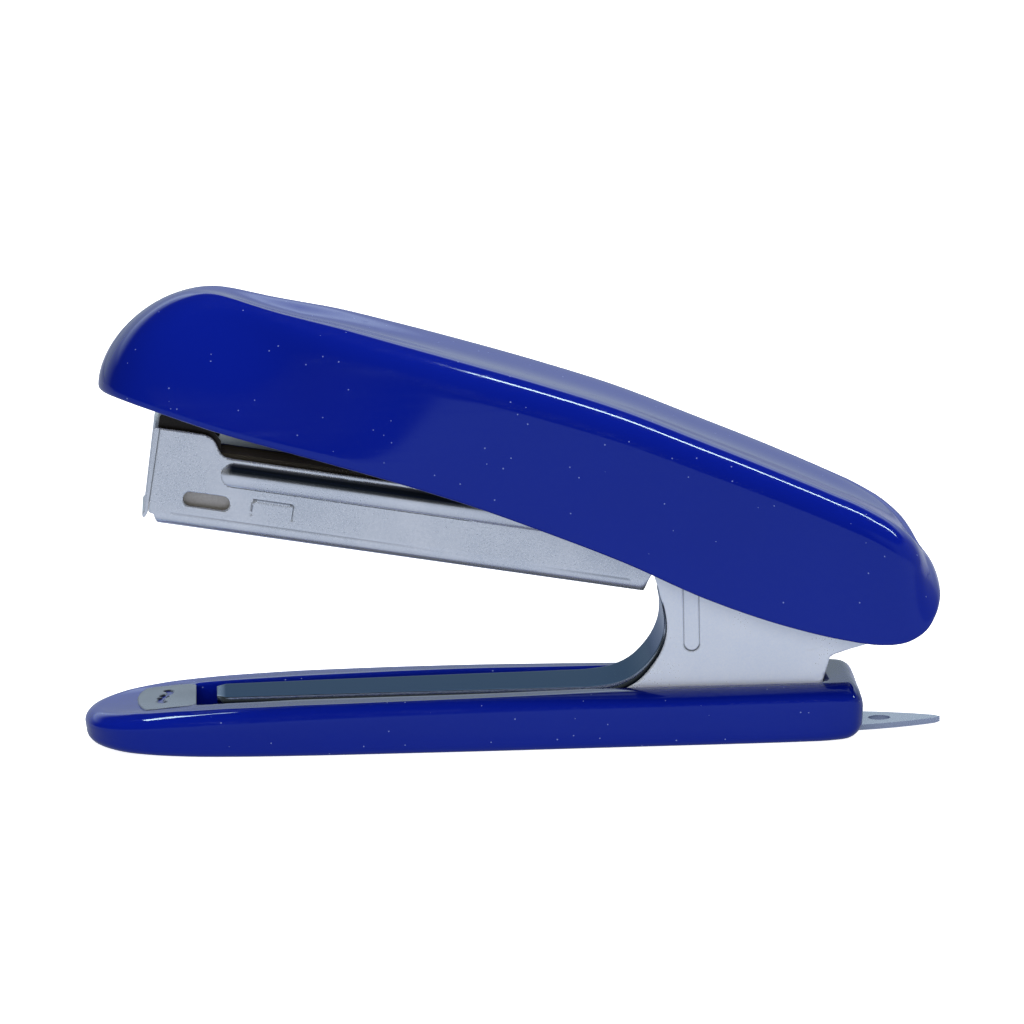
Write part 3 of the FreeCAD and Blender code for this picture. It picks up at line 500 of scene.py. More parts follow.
# ---- handle ----
def side_profile(t, rim, ridge, swell, radius):
    """Steps inwards and upwards from the rim at shares t of the way to the
    ridge. A wall with a straight draft turns, over a cubic with a level end,
    into the shoulder; a nose is the arc 1 - (1 - t^1.68)^(1/1.68); swell mixes
    the two."""
    t = t[:, None]
    rise = ridge[:, 2] - rim[:, 2]
    reach = np.linalg.norm((ridge - rim)[:, :2], axis=1)
    r = np.minimum(radius, 0.9 * np.minimum(rise, reach))
    wall = t / SHOULDER_START
    k = np.clip((t - SHOULDER_START) / (1 - SHOULDER_START), 0, 1)
    weights = (1 - k) ** 3, 3 * k * (1 - k) ** 2, 3 * k**2 * (1 - k), k**3
    lean = (reach - r) * 1.25 / np.maximum(rise - r, 1e-6)
    steps_in = reach - r, reach - r + 0.55 * r * lean, reach - 0.55 * r, reach
    steps_up = rise - r, rise - 0.45 * r, rise, rise
    on_wall = t <= SHOULDER_START
    inward = np.where(on_wall, (reach - r) * wall**1.25,
                      sum(w * step for w, step in zip(weights, steps_in)))
    up = np.where(on_wall, (rise - r) * wall,
                  sum(w * step for w, step in zip(weights, steps_up)))
    turn = np.pi / 2 * t
    power = 2 / 1.68
    nose_up = np.sin(turn) ** power
    nose_in = 1 - np.cos(turn) ** power
    return (inward * (1 - swell) + nose_in * reach * swell,
            up * (1 - swell) + nose_up * rise * swell)


def handle_shell(wall, rear_wall):
    """Outer skin from the rim over the shoulder to the middle of the dished
    top panel, a rounded rim edge, and the inner skin one wall inside."""
    half = half_loop(HANDLE, (1, 4), 230)
    rim, ridge = half[:, 0:3], half[:, 3:6]
    swell = np.clip(half[:, 6], 0, 1)
    t = np.concatenate([np.linspace(0.0, SHOULDER_START, 18),
                        np.linspace(SHOULDER_START, 1.0, 22)[1:]])
    inward, up = side_profile(t, rim, ridge, swell, half[:, 7])
    reach = np.linalg.norm((ridge - rim)[:, :2], axis=1)
    heading = (ridge - rim)[:, :2] / np.maximum(reach, 1e-6)[:, None]
    side = np.empty((len(t), len(rim), 3))
    side[:, :, :2] = rim[:, :2] + inward[:, :, None] * heading
    side[:, :, 2] = rim[:, 2] + up
    # Top panel: level line to the middle, dished by (r (2 - r))^2.
    r = np.linspace(0, 0.97, 17)[1:, None]
    x0, x1 = ridge[0, 0], ridge[-1, 0]
    spine = (ridge[:, 0] + 1.3 * np.exp(-(ridge[:, 0] - x0) / 1.6)
             - 1.3 * np.exp(-(x1 - ridge[:, 0]) / 1.6))
    panel = np.empty((len(r), len(ridge), 3))
    panel[:, :, 0] = ridge[:, 0] + (spine - ridge[:, 0]) * r
    panel[:, :, 1] = ridge[:, 1] * (1 - r)
    level = np.interp(panel[:, :, 0], ridge[:, 0], ridge[:, 2])
    dish = np.interp(panel[:, :, 0], DISH_X, DISH)
    panel[:, :, 2] = level - dish * (r * (2 - r)) ** 2
    outer = whole_loop(np.concatenate([side, panel]))
    thickness = np.interp(outer[:, :, :1], (44.0, 50.0), (wall, rear_wall))
    inner = outer - grid_normals(outer) * thickness
    # Rim: a quarter round on each edge of the wall.
    across = inner[0] - outer[0]
    gap = np.linalg.norm(across, axis=1, keepdims=True)
    edge = np.minimum(0.55, 0.45 * gap)
    a = np.linspace(0, np.pi / 2, 6)[:, None, None]
    step = across / gap * edge * (1 - np.cos(a))
    drop = np.array([0.0, 0.0, -1.0]) * edge * np.sin(a)
    rows = np.concatenate([outer[::-1], (outer[0] + step + drop)[1:],
                           (inner[0] - step + drop)[:0:-1], inner])
    return closed_shell(rows, outwards=False)


# ---- base ----
def fillet(a, b, count, level_start):
    """Quarter ellipse from a to b that leaves a level, or else upright."""
    q = np.linspace(0, np.pi / 2, count)[:, None, None]
    across, up = np.sin(q), 1 - np.cos(q)
    if not level_start:
        across, up = up, across
    return a + (b - a) * np.concatenate([across, across, up], axis=2)


def straight(a, b, count):
    """Even steps from a to b."""
    q = np.linspace(0, 1, count)[:, None, None]
    return a * (1 - q) + b * q


def beside_middle(edge):
    """Line next to the middle at which a floor's two halves are seamed."""
    line = edge * np.array([1.0, 0.03, 1.0])
    line[:, 0] = np.clip(edge[:, 0], edge[0, 0] + 0.8, edge[-1, 0] - 0.8)
    return line


def base_shell(recess_z):
    """Closed loops from the flat bottom over the sides and rim into the
    recess: quarter arcs at the bottom edge, the shoulder and the recess's
    lip."""
    half = half_loop(BASE, (1, 4, 6, 8, 11), 230)
    waist, low, flat = half[:, 0:3], half[:, 7:10], half[:, 10:13]
    rim, edge = (np.column_stack([xy, np.interp(xy[:, 0], RIM_X, RIM_Z)])
                 for xy in (half[:, 3:5], half[:, 5:7]))
    lip = edge.copy()
    lip[:, 0] -= LIP * (edge[:, 0] < RECESS_FRONT_X)
    lip[:, 1] += LIP * np.clip(edge[:, 1] / (2 * LIP), 0, 1)
    wall_top = edge - np.array([0, 0, 0.35])
    floor = edge.copy()
    floor[:, 2] = recess_z
    rows = np.concatenate([
        straight(beside_middle(flat), flat, 5),
        fillet(flat, low, 9, True)[1:],
        straight(low, waist, 6)[1:],
        fillet(waist, rim, 16, False)[1:],
        straight(rim, lip, 4)[1:],
        fillet(lip, wall_top, 5, True)[1:],
        straight(wall_top, floor, 5)[1:],
        straight(floor, beside_middle(floor), 4)[1:],
    ])
    return closed_shell(whole_loop(rows))


# ---- magazine ----
def to_row(u, w):
    """Magazine distances, u forwards from the pin and w up from the floor,
    to x and z."""
    c, n = math.cos(MAG_TILT), math.sin(MAG_TILT)
    return PIVOT[0] - u * c + (w - PIVOT_W) * n, PIVOT[2] + u * n + (w - PIVOT_W) * c


def arc_points(cx, cy, r, start, end, count):
    """Points on an arc, angles in degrees."""
    a = np.radians(np.linspace(start, end, count))
    return np.column_stack([cx + r * np.cos(a), cy + r * np.sin(a)])


def magazine_skin(material, sheet, bead_height):
    """Folded magazine: one blank in u and developed width s, bent over both
    lower edges at radius MAG_BEND. The side beads stand out by
    bead_height (1 - (d / BEAD_HALF)^2)^0.7 at distance d from BEAD_LINE."""
    floor = MAG_HALF - MAG_BEND
    lift = floor + MAG_BEND * (math.pi / 2 - 1)
    # Half of the blank's edge, from the front over the top to the rear.
    side = np.vstack([
        [(90.35, -0.01), (90.35, floor), (90.85, floor + 0.5)],
        np.array([(91.35, 0.7), (92.05, 0.8), (92.05, MAG_TOP_W), (88.5, MAG_TOP_W), (86.4, 11.45),
                  (85.7, 11.28), (85.2, 10.95), (84.85, 10.5), (84.5, 9.9), (84.1, 9.4),
                  (83.6, 9.05), (82.6, 8.92), (62.0, 8.85), (40.0, 8.15), (33.0, 8.6),
                  (28.0, 10.3), (24.0, 10.6), (6.0, 9.2)]) + (0, lift),
        arc_points(0, PIVOT_W + lift, 4.3, 80, 280, 12),
        np.array([(6.0, 1.2), (20.5, 1.6), (23.3, 3.9), (25.7, 6.2), (28.2, 5.5),
                  (28.5, 2.0), (28.9, 0.95)]) + (0, lift),
        [(29.4, floor), (29.4, -0.01)],
    ])
    window = np.vstack([arc_points(WINDOW_U[1], WINDOW_W, WINDOW_R, 90, -90, 9),
                        arc_points(WINDOW_U[0], WINDOW_W, WINDOW_R, 270, 90, 9)]) + (0, lift)
    loops = [np.vstack([side, (side * (1, -1))[::-1]]), window, window * (1, -1)]
    # The grid is finer over the front, where the window and the outline are.
    us = np.concatenate([np.linspace(-4.5, 27.6, 37), np.linspace(28.0, 68.5, 71),
                         np.linspace(68.7, 92.05, 131)])
    wall = np.concatenate([np.linspace(0, floor, 5)[1:],
                           floor + MAG_BEND * np.linspace(0, math.pi / 2, 7)[1:],
                           floor + MAG_BEND * math.pi / 2 + np.linspace(0, 10.6, 54)[1:]])
    ws = np.concatenate([-wall[::-1], [0.0], wall])
    flat, cells = blanked(us, ws, loops)
    u, s = flat[:, 0], flat[:, 1]
    turn = np.clip((np.abs(s) - floor) / MAG_BEND, 0, math.pi / 2)
    w = MAG_BEND * (1 - np.cos(turn)) + np.maximum(np.abs(s) - floor - MAG_BEND * math.pi / 2, 0)
    y = np.minimum(np.abs(s), floor) + MAG_BEND * np.sin(turn)
    on_wall = np.column_stack([u, w])
    bead = from_line(on_wall, BEAD_LINE[:1], BEAD_LINE[1:])[0]
    out = bead_height * np.clip(1 - (bead / BEAD_HALF) ** 2, 0, 1) ** 0.7
    out += groove(on_wall, PICTOGRAM, 0.22, 0.12) + groove(on_wall, HEM, 0.15, 0.05)
    out[np.abs(s) < floor + 1.0] = 0.0
    y = np.sign(s) * (y + out)
    x, z = to_row(u, w)
    obj = put_mesh("magazine_skin", np.column_stack([x, y, z]), cells[:, ::-1], material)
    # Painted shade, with polish: the upper half of each bead is painted dark as a painted
    # reflection of the dark underside above it, and the pressed lines are painted dark as shade in
    # their grooves.
    bead_shade = np.clip((w - 6.85) / 0.3, 0, 1) * np.clip((8.05 - w) / 0.2, 0, 1)
    bead_shade *= np.clip((83.0 - u) / 0.5, 0, 1) * (np.abs(s) > floor)
    groove_shade = -(groove(on_wall, PICTOGRAM, 0.13, 0.75) + groove(on_wall, HEM, 0.07, 0.5))
    mark_painted_shade(obj, np.maximum(bead_shade, groove_shade))
    return thicken(obj, sheet)


def magazine_front(material):
    """Front plate with the small hooked lip at its foot."""
    line = np.array([(92.06, 0.62), (92.2, 0.2), (92.35, -0.05), (92.5, -0.12), (92.65, -0.05),
                     (92.72, 0.2), (92.68, 0.5), (92.5, 0.75), (92.55, 2.5), (92.8, 11.2),
                     (92.7, 11.42), (92.06, 11.42)])
    x, z = to_row(line[:, 0], line[:, 1])
    return rolled(np.column_stack([x, z]), -5.5, 5.5, "magazine_front", material, 0.12)


def guide_cheek(side, material):
    """Thin cheek of the driver guide, inside the magazine's front."""
    line = np.array([(91.9, 7.0), (91.9, 12.9), (91.0, 13.05), (88.0, 12.75), (85.6, 12.0),
                     (84.3, 10.8), (84.1, 9.4), (86.0, 7.0)])
    x, z = to_row(line[:, 0], line[:, 1])
    y0, y1 = sorted((side * 4.66, side * 4.84))
    name = "guide_near" if side < 0 else "guide_far"
    return rolled(np.column_stack([x, z]), y0, y1, name, material)


def guide_bar(material):
    """Guide in front of the driver blade, its top lip rolled forwards."""
    line = np.array([(91.05, 0.9), (91.95, 0.9), (91.95, 11.3), (92.3, 11.45), (92.3, 12.6),
                     (92.2, 12.9), (91.95, 13.08), (91.6, 13.1), (91.05, 13.1)])
    x, z = to_row(line[:, 0], line[:, 1])
    return rolled(np.column_stack([x, z]), -4.8, 4.8, "guide_bar", material, 0.1)


# ---- springs ----
def leaf_spring(name, line, material, thickness):
    """Strip of spring steel along a smooth line in x and z: its rectangular
    section, half a thickness to each side, swept square to it."""
    line = np.asarray(line, float)
    knots = np.concatenate([[0], np.cumsum(np.linalg.norm(np.diff(line, axis=0), axis=1))])
    count = 60
    path = hermite(knots, line, np.linspace(0, knots[-1], count))
    slope = np.gradient(path, axis=0)
    slope /= np.linalg.norm(slope, axis=1, keepdims=True)
    step = np.column_stack([-slope[:, 1], slope[:, 0]]) * thickness / 2
    corners = [np.column_stack([path[:, 0] + step[:, 0] * k, np.full(count, y),
                                path[:, 1] + step[:, 1] * k])
               for k, y in ((1, -LEAF_HALF), (1, LEAF_HALF), (-1, LEAF_HALF), (-1, -LEAF_HALF))]
    grid = np.stack(corners, axis=1)
    faces = [tuple(f) for f in ring_faces(count, 4).tolist()]
    faces += [(3, 2, 1, 0), tuple(range(4 * count - 4, 4 * count))]
    return put_mesh(name, grid.reshape(-1, 3), faces, material, False)


def coil_spring(material, turns):
    """Coil round the feeder's rod: a tube round the helix of n turns whose
    place at share v is (start + length v, r cos 2 pi n v, r sin 2 pi n v)."""
    v = np.linspace(0, 1, turns * 20 + 1)[:, None]
    angle = 2 * np.pi * turns * v
    a = np.linspace(0, 2 * np.pi, 9)[:-1]
    radius = COIL_R + COIL_WIRE_R * np.cos(a)
    along = COIL_ENDS[0] + (COIL_ENDS[1] - COIL_ENDS[0]) * v + COIL_WIRE_R * np.sin(a)
    x, z = to_row(along, ROD_W + radius * np.sin(angle))
    grid = np.stack([x, radius * np.cos(angle), z], axis=2)
    rows, cols = x.shape
    faces = [tuple(f) for f in ring_faces(rows, cols).tolist()]
    faces += [tuple(range(cols - 1, -1, -1)), tuple(range((rows - 1) * cols, rows * cols))]
    return put_mesh("pusher_coil", grid.reshape(-1, 3), faces, material)


# ---- base frame ----
def web_path():
    """Outer face of the channel's web: x, z and the unit normal, as a smooth
    curve through its bend line."""
    pts = np.array(WEB_LINE)
    knots = np.concatenate([[0], np.cumsum(np.linalg.norm(np.diff(pts, axis=0), axis=1))])
    where = np.concatenate([np.linspace(0, knots[3], 40)[:-1],
                            np.linspace(knots[3], knots[-1], 60)])
    line = hermite(knots, pts, where)
    slope = np.gradient(line, axis=0)
    slope /= np.linalg.norm(slope, axis=1, keepdims=True)
    return line, np.column_stack([-slope[:, 1], slope[:, 0]])


def bend_radius(line):
    """Radius of the fold between web and ears, finer towards the top."""
    return (np.interp(line[:, 0], (-37.3, 0.0, 10.0), (0.75, 0.95, 1.0))
            * np.interp(line[:, 1], (7.0, 10.0, 17.3), (1.0, 0.6, 0.2)))


def channel_web(material, sheet):
    """The channel's web and bends swept along its path, wider to the rear.
    Across it, from the middle: a flat, a quarter bend and the flange."""
    line, normal = web_path()
    x = line[:, 0]
    half = np.interp(x, (-37.3, -37.2, -36.9, -36.3, 12.0, 13.5),
                     (3.4, 3.9, 4.3, 4.6, 6.2, 6.33))[:, None]
    depth = np.interp(x, (-37.3, 8.0, 13.0), (2.6, 3.0, 0.5))[:, None]
    bend = bend_radius(line)[:, None]
    flat = half - bend
    a = np.linspace(0, math.pi / 2, 8)
    share = np.linspace(0, 1, 12)[:-1]
    y = np.hstack([flat * share, flat + bend * np.sin(a), half * np.ones(3)])
    down = np.hstack([np.zeros((len(x), len(share))), bend * (1 - np.cos(a)),
                      bend + depth * np.array([0.35, 0.7, 1.0])])
    y = np.hstack([-y[:, ::-1], y[:, 1:]])
    down = np.hstack([down[:, ::-1], down[:, 1:]])
    grid = np.stack([line[:, :1] - normal[:, :1] * down, y,
                     line[:, 1:] - normal[:, 1:] * down], axis=2)
    rows, cols = y.shape
    r, c = np.meshgrid(np.arange(rows - 1), np.arange(cols - 1), indexing="ij")
    first = (r * cols + c).ravel()
    faces = np.stack([first, first + cols, first + cols + 1, first + 1], axis=1)
    obj = put_mesh("channel_web", grid.reshape(-1, 3), faces, material)
    # Painted shade: the flat and the flanges are painted dark, standing in for the dark
    # reflections and shade on them, and polished; the folds between them and the front end keep
    # the plain plating.
    level = np.clip((flat + 0.25 - np.abs(y)) / 0.12, 0, 1)
    skirt = np.clip((np.abs(y) - half + 0.12) / 0.1, 0, 1)
    mark_painted_shade(obj, (np.maximum(level, skirt)
                       * np.clip((grid[:, :, 0] + 37.0) / 0.5, 0, 1)).ravel())
    return thicken(obj, sheet)


def channel_ear(side, material, sheet):
    """Side plate that carries the hinge pin, with a pressed slot outline and
    two faint spot welds."""
    # The ear starts where the fold from the web ends.
    line, normal = web_path()
    rise = line[:, 0] > EAR_FRONT_X
    front = (line - normal * bend_radius(line)[:, None])[rise]
    ear = np.vstack([
        [(EAR_FRONT_X, 3.0)], front, EAR_FREE_EDGE,
        arc_points(PIVOT[0], PIVOT[2], 4.2, 104, -64, 12), EAR_LOWER_EDGE,
    ])
    # The grid is finer along the slot's sides and round its lower end.
    xs = np.concatenate([np.arange(12.6, 21.0, 0.25), np.arange(21.0, 23.6, 0.06),
                         np.arange(23.6, 50.4, 0.3)])
    zs = np.concatenate([np.arange(3.0, 11.0, 0.2), np.arange(11.0, 12.6, 0.06),
                         np.arange(12.6, 24.8, 0.25)])
    flat, cells = blanked(xs, zs, [ear])
    slot_wall = np.abs(from_line(flat, SLOT_LINE[:1], SLOT_LINE[1:])[0] - SLOT_HALF)
    out = -0.12 * np.clip(1 - (slot_wall / 0.13) ** 2, 0, 1) ** 1.5
    for x, z in SPOT_WELDS:
        ring = np.abs(np.hypot(flat[:, 0] - x, flat[:, 1] - z) - 1.1)
        out -= 0.02 * np.clip(1 - (ring / 0.2) ** 2, 0, 1)
    y = side * (EAR_Y + out)
    if side < 0:
        cells = cells[:, ::-1]
    name = "ear_near" if side < 0 else "ear_far"
    obj = put_mesh(name, np.column_stack([flat[:, 0], y, flat[:, 1]]), cells[:, ::-1], material)
    # Painted shade: the pressed slot outline is painted dark as shade in its groove, fully below z
    # 12.4 and at 0.6 above.
    shade = 0.6 + 0.4 * np.clip((12.4 - flat[:, 1]) / 0.6, 0, 1)
    mark_painted_shade(obj, shade * np.clip(1.3 - slot_wall / 0.07, 0, 1))
    return thicken(obj, sheet)


def anvil_skin(material, sheet):
    """Crimping plate, crowned by 0.003 y^2, with two curved crimp pockets."""
    outline = np.vstack([
        np.column_stack([-46.2 - 1.1 * (1 - (np.linspace(-6.4, 6.4, 17) / 6.4) ** 2),
                         np.linspace(-6.4, 6.4, 17)]),
        [(-45.0, 6.65)], arc_points(-41.4, 5.2, 1.45, 90, 0, 7),
        arc_points(-41.4, -5.2, 1.45, 0, -90, 7), [(-45.0, -6.65)],
    ])
    flat, cells = blanked(np.arange(-47.4, -39.8, 0.15), np.arange(-6.75, 6.8, 0.15), [outline])
    pockets = [(-44.1, 0.3, -43.4, 1.1), (-43.4, 1.1, -43.2, 2.6), (-43.2, 2.6, -43.6, 3.2),
               (-43.8, -0.3, -44.4, -1.1), (-44.4, -1.1, -44.5, -2.6), (-44.5, -2.6, -44.1, -3.2)]
    z = np.interp(flat[:, 0], RIM_X, RIM_Z) + 0.12 - 0.003 * flat[:, 1] ** 2
    dent = groove(flat, pockets, 0.6, 0.42)
    obj = put_mesh("anvil_skin", np.column_stack([flat, z + dent]), cells, material)
    # Painted shade: the crimp pockets are painted dark as shade in the recesses, darkest where
    # deepest.
    mark_painted_shade(obj, np.clip(-dent / 0.3, 0, 1))
    return thicken(obj, sheet)


# ---- stage ----
def studio_world(tree):
    """Soft studio: dim room, and a pale wall behind up to 30 degrees high."""
    back = tree.nodes["Background"]
    direction = add_node(tree, "ShaderNodeTexCoord").outputs["Generated"]
    axis = add_node(tree, "ShaderNodeSeparateXYZ", {}, {}, {0: direction})
    rear = add_node(tree, "ShaderNodeMapRange", {"interpolation_type": "SMOOTHSTEP"},
                    {"From Min": 0.4, "From Max": 0.9, "To Min": 0.0, "To Max": 1.0},
                    {0: axis.outputs[1]})
    height = add_node(tree, "ShaderNodeValToRGB", {}, {}, {0: axis.outputs[2]})
    ramp = height.color_ramp
    ramp.elements[0].color = (WALL[0][1],) * 3 + (1,)
    ramp.elements[1].color = (WALL[-1][1],) * 3 + (1,)
    for place, level in WALL[1:-1]:
        ramp.elements.new(place).color = (level, level, level, 1)
    wall = add_node(tree, "ShaderNodeMath", {"operation": "MULTIPLY"}, {},
                    {0: rear.outputs[0], 1: height.outputs[0]})
    # A dimmer wall on the right, up to 25 degrees high.
    right = add_node(tree, "ShaderNodeMapRange", {"interpolation_type": "SMOOTHSTEP"},
                     {"From Min": 0.4, "From Max": 0.7, "To Min": 0.0, "To Max": 0.27},
                     {0: axis.outputs[0]})
    low = add_node(tree, "ShaderNodeMapRange", {"interpolation_type": "SMOOTHSTEP"},
                   {"From Min": 0.3, "From Max": 0.45, "To Min": 1.0, "To Max": 0.0},
                   {0: axis.outputs[2]})
    side = add_node(tree, "ShaderNodeMath", {"operation": "MULTIPLY"}, {},
                    {0: right.outputs[0], 1: low.outputs[0]})
    walls = add_node(tree, "ShaderNodeMath", {"operation": "MAXIMUM"}, {},
                     {0: wall.outputs[0], 1: side.outputs[0]})
    level = add_node(tree, "ShaderNodeMath", {"operation": "MAXIMUM"}, {1: 0.04},
                     {0: walls.outputs[0]})
    tree.links.new(level.outputs[0], back.inputs["Strength"])
    back.inputs["Color"].default_value = (0.82, 0.96, 1.05, 1.0)


def paper_floor():
    """Pale paper. What the camera sees directly is fully lit paper; what
    lights and mirrors itself in the object is the same paper in half shade."""
    paper, tree, shader = new_material("pale paper", {"Roughness": 0.9})
    shader.inputs["Base Color"].default_value = (0.95, 0.95, 0.95, 1)
    shader.inputs["Emission Color"].default_value = (1.0, 1.0, 1.0, 1)
    shader.inputs["Emission Strength"].default_value = 0.9
    half = add_node(tree, "ShaderNodeBsdfDiffuse", {}, {"Color": (0.17, 0.18, 0.21, 1)})
    bounce = add_node(tree, "ShaderNodeEmission", {}, {"Color": (0.74, 0.85, 1.08, 1),
                                                       "Strength": 0.30})
    shade = add_node(tree, "ShaderNodeAddShader", {}, {},
                     {0: half.outputs[0], 1: bounce.outputs[0]})
    path = add_node(tree, "ShaderNodeLightPath")
    mix = add_node(tree, "ShaderNodeMixShader", {}, {}, {0: path.outputs["Is Camera Ray"]})
    tree.links.new(shade.outputs[0], mix.inputs[1])
    tree.links.new(shader.outputs[0], mix.inputs[2])
    tree.links.new(mix.outputs[0], tree.nodes["Material Output"].inputs[0])
    return paper


def add_area(name, place, aim, size, energy, mirrored=True):
    """Rectangular light, its long side along x; a light that isn't mirrored
    only fills the shadows."""
    data = bpy.data.lights.new(name, "AREA")
    data.shape = "RECTANGLE"
    data.size, data.size_y = size
    data.energy = energy
    lamp = bpy.data.objects.new(name, data)
    back = (Vector(place) - Vector(aim)).normalized()
    side = (Vector((1, 0, 0)) - back * back.x).normalized()
    turn = Matrix((side, back.cross(side), back)).transposed().to_4x4()
    lamp.matrix_world = Matrix.Translation(place) @ turn
    lamp.visible_glossy = mirrored
    bpy.context.scene.collection.objects.link(lamp)
    return lamp


def place_camera():
    """Long lens, 11 degrees above the table and 2 degrees towards the nose."""
    a, e, roll = math.radians(2.0), math.radians(11.0), math.radians(1.0)
    back = np.array([-math.sin(a) * math.cos(e), -math.cos(a) * math.cos(e), math.sin(e)])
    right = np.array([math.cos(a), -math.sin(a), 0.0])
    up = np.cross(back, right)
    right, up = (right * math.cos(roll) - up * math.sin(roll),
                 up * math.cos(roll) + right * math.sin(roll))
    data = bpy.data.cameras.new("camera")
    data.sensor_width = 36.0
    data.lens = 36.0 * 7957.0 / 1024.0
    camera = bpy.data.objects.new("camera", data)
    spot = np.array([0.28, 0.0, 28.4]) * MM + back * 1.0
    turn = Matrix(np.column_stack([right, up, back]).tolist()).to_4x4()
    camera.matrix_world = Matrix.Translation(spot.tolist()) @ turn
    bpy.context.scene.collection.objects.link(camera)
    bpy.context.scene.camera = camera


# ---- user settings ----
def length(name, description, size):
    """A length setting whose default is given in millimetres."""
    return bpy.props.FloatProperty(name=name, description=description, default=size * MM,
                                   min=0.0, subtype="DISTANCE", unit="LENGTH")


def colour(name, description, code):
    """A colour setting whose default is given as sRGB hex."""
    return bpy.props.FloatVectorProperty(name=name, description=description, size=3,
                                         default=to_linear(code), min=0.0, max=1.0,
                                         subtype="COLOR")


class StaplerSizes(bpy.types.PropertyGroup):
    """Wall and sheet thicknesses and the small shapes that set the look."""
    handle_wall: length("Handle wall", "Wall of the moulded handle", 1.7)
    rear_wall: length("Rear wall", "Thinner wall behind the hinge pin", 0.75)
    recess_floor: length("Recess floor", "Height of the floor inside the base", 1.75)
    sheet: length("Sheet", "Thickness of the folded sheets", 0.6)
    anvil_sheet: length("Anvil", "Thickness of the crimping plate", 0.8)
    bead: length("Bead", "How far the magazine's side beads stand out", 0.62)
    return_leaf: length("Return leaf", "Thickness of the handle's leaf spring", 0.35)
    lift_leaf: length("Lifting leaf", "Thickness of the magazine's leaf spring", 0.4)
    coil_turns: bpy.props.IntProperty(name="Coil turns", description="Turns of the pusher spring",
                                      default=22, min=2, max=60)


class StaplerColours(bpy.types.PropertyGroup):
    """Darkest and lightest shade of the main finishes."""
    plastic_dark: colour("Plastic, dark", "Handle and base, darkest shade", "#061680")
    plastic_light: colour("Plastic, light", "Handle and base, lightest shade", "#071A8A")
    magazine_dark: colour("Magazine, dark", "Plated magazine, darkest shade", "#DCE3EC")
    magazine_light: colour("Magazine, light", "Plated magazine, lightest shade", "#F8FAFD")
    ear_dark: colour("Ears, dark", "Plated ears, darkest shade", "#EAF1FC")
    ear_light: colour("Ears, light", "Plated ears, lightest shade", "#F8FBFF")


def fit_piece(obj, body, slot, *nodes):
    """Lets a piece ride on a body and stand in for CAD nodes; the slot is not used."""
    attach(obj, body)
    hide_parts(*nodes)


# ---- operators ----
class STAPLER_OT_covers(bpy.types.Operator):
    """Moulded handle and base"""
    bl_idname = "stapler.covers"
    bl_label = "Moulded covers"

    def execute(self, context):
        size, tint = context.scene.stapler_sizes, context.scene.stapler_colours
        blue = moulded_abs("moulded ABS", (tint.plastic_dark, tint.plastic_light))
        shell = handle_shell(size.handle_wall / MM, size.rear_wall / MM)
        fit_piece(put_mesh("handle_skin", *shell, blue), "handle", "blue_plastic",
                  "handle_cover")
        shell = base_shell(size.recess_floor / MM)
        fit_piece(put_mesh("base_skin", *shell, blue), "base", "blue_plastic", "base_cover")
        return {"FINISHED"}


class STAPLER_OT_magazine(bpy.types.Operator):
    """Folded magazine and its front plate"""
    bl_idname = "stapler.magazine"
    bl_label = "Magazine"

    def execute(self, context):
        size, tint = context.scene.stapler_sizes, context.scene.stapler_colours
        plating = plated_sheet("nickel-plated steel", (tint.magazine_dark, tint.magazine_light),
                               0.26, 0.8)
        skin = magazine_skin(plating, size.sheet / MM, size.bead / MM)
        for obj in (skin, magazine_front(plating)):
            fit_piece(obj, "magazine", "plated_steel", "magazine_channel")
        return {"FINISHED"}


class STAPLER_OT_driver_guide(bpy.types.Operator):
    """Dark guide of the driver blade, inside the magazine's front"""
    bl_idname = "stapler.driver_guide"
    bl_label = "Driver guide"

    def execute(self, context):
        black = plated_sheet("blackened steel", shades("#2A2724", "#3C3833"), 0.3)
        for obj in (guide_bar(black), guide_cheek(-1, black), guide_cheek(1, black)):
            fit_piece(obj, "magazine", "dark_steel", "front_guide")
        return {"FINISHED"}


class STAPLER_OT_frame(bpy.types.Operator):
    """Base channel with its two ears and its floor"""
    bl_idname = "stapler.frame"
    bl_label = "Base frame"

    def execute(self, context):
        size, tint = context.scene.stapler_sizes, context.scene.stapler_colours
        sheet = size.sheet / MM
        plating = plated_sheet("nickel-plated steel, ears", (tint.ear_dark, tint.ear_light),
                               0.3, 0.62)
        # Plating of the channel's web, on which painted shade darkens the flat and the flanges.
        with_painted_shade = plated_sheet("nickel-plated steel, channel", shades("#D6DEE8", "#F4F7FB"),
                              0.22, 1.0, (0.45, 0.55, 0.71))
        floor = rolled(np.array([(21.0, 2.4), (38.6, 2.4), (38.6, 3.0), (21.0, 3.0)]),
                       -5.74, 5.74, "channel_floor", plating)
        for obj in (channel_ear(-1, plating, sheet), channel_ear(1, plating, sheet),
                    channel_web(with_painted_shade, sheet), floor):
            fit_piece(obj, "base", "plated_steel", "base_frame")
        return {"FINISHED"}


class STAPLER_OT_anvil(bpy.types.Operator):
    """Crimping plate under the magazine's front"""
    bl_idname = "stapler.anvil"
    bl_label = "Anvil"

    def execute(self, context):
        hard = plated_sheet("hardened plated steel", shades("#7C8494", "#989FAE"), 0.3)
        plate = anvil_skin(hard, context.scene.stapler_sizes.anvil_sheet / MM)
        fit_piece(plate, "base", "plated_steel", "anvil_plate")
        return {"FINISHED"}


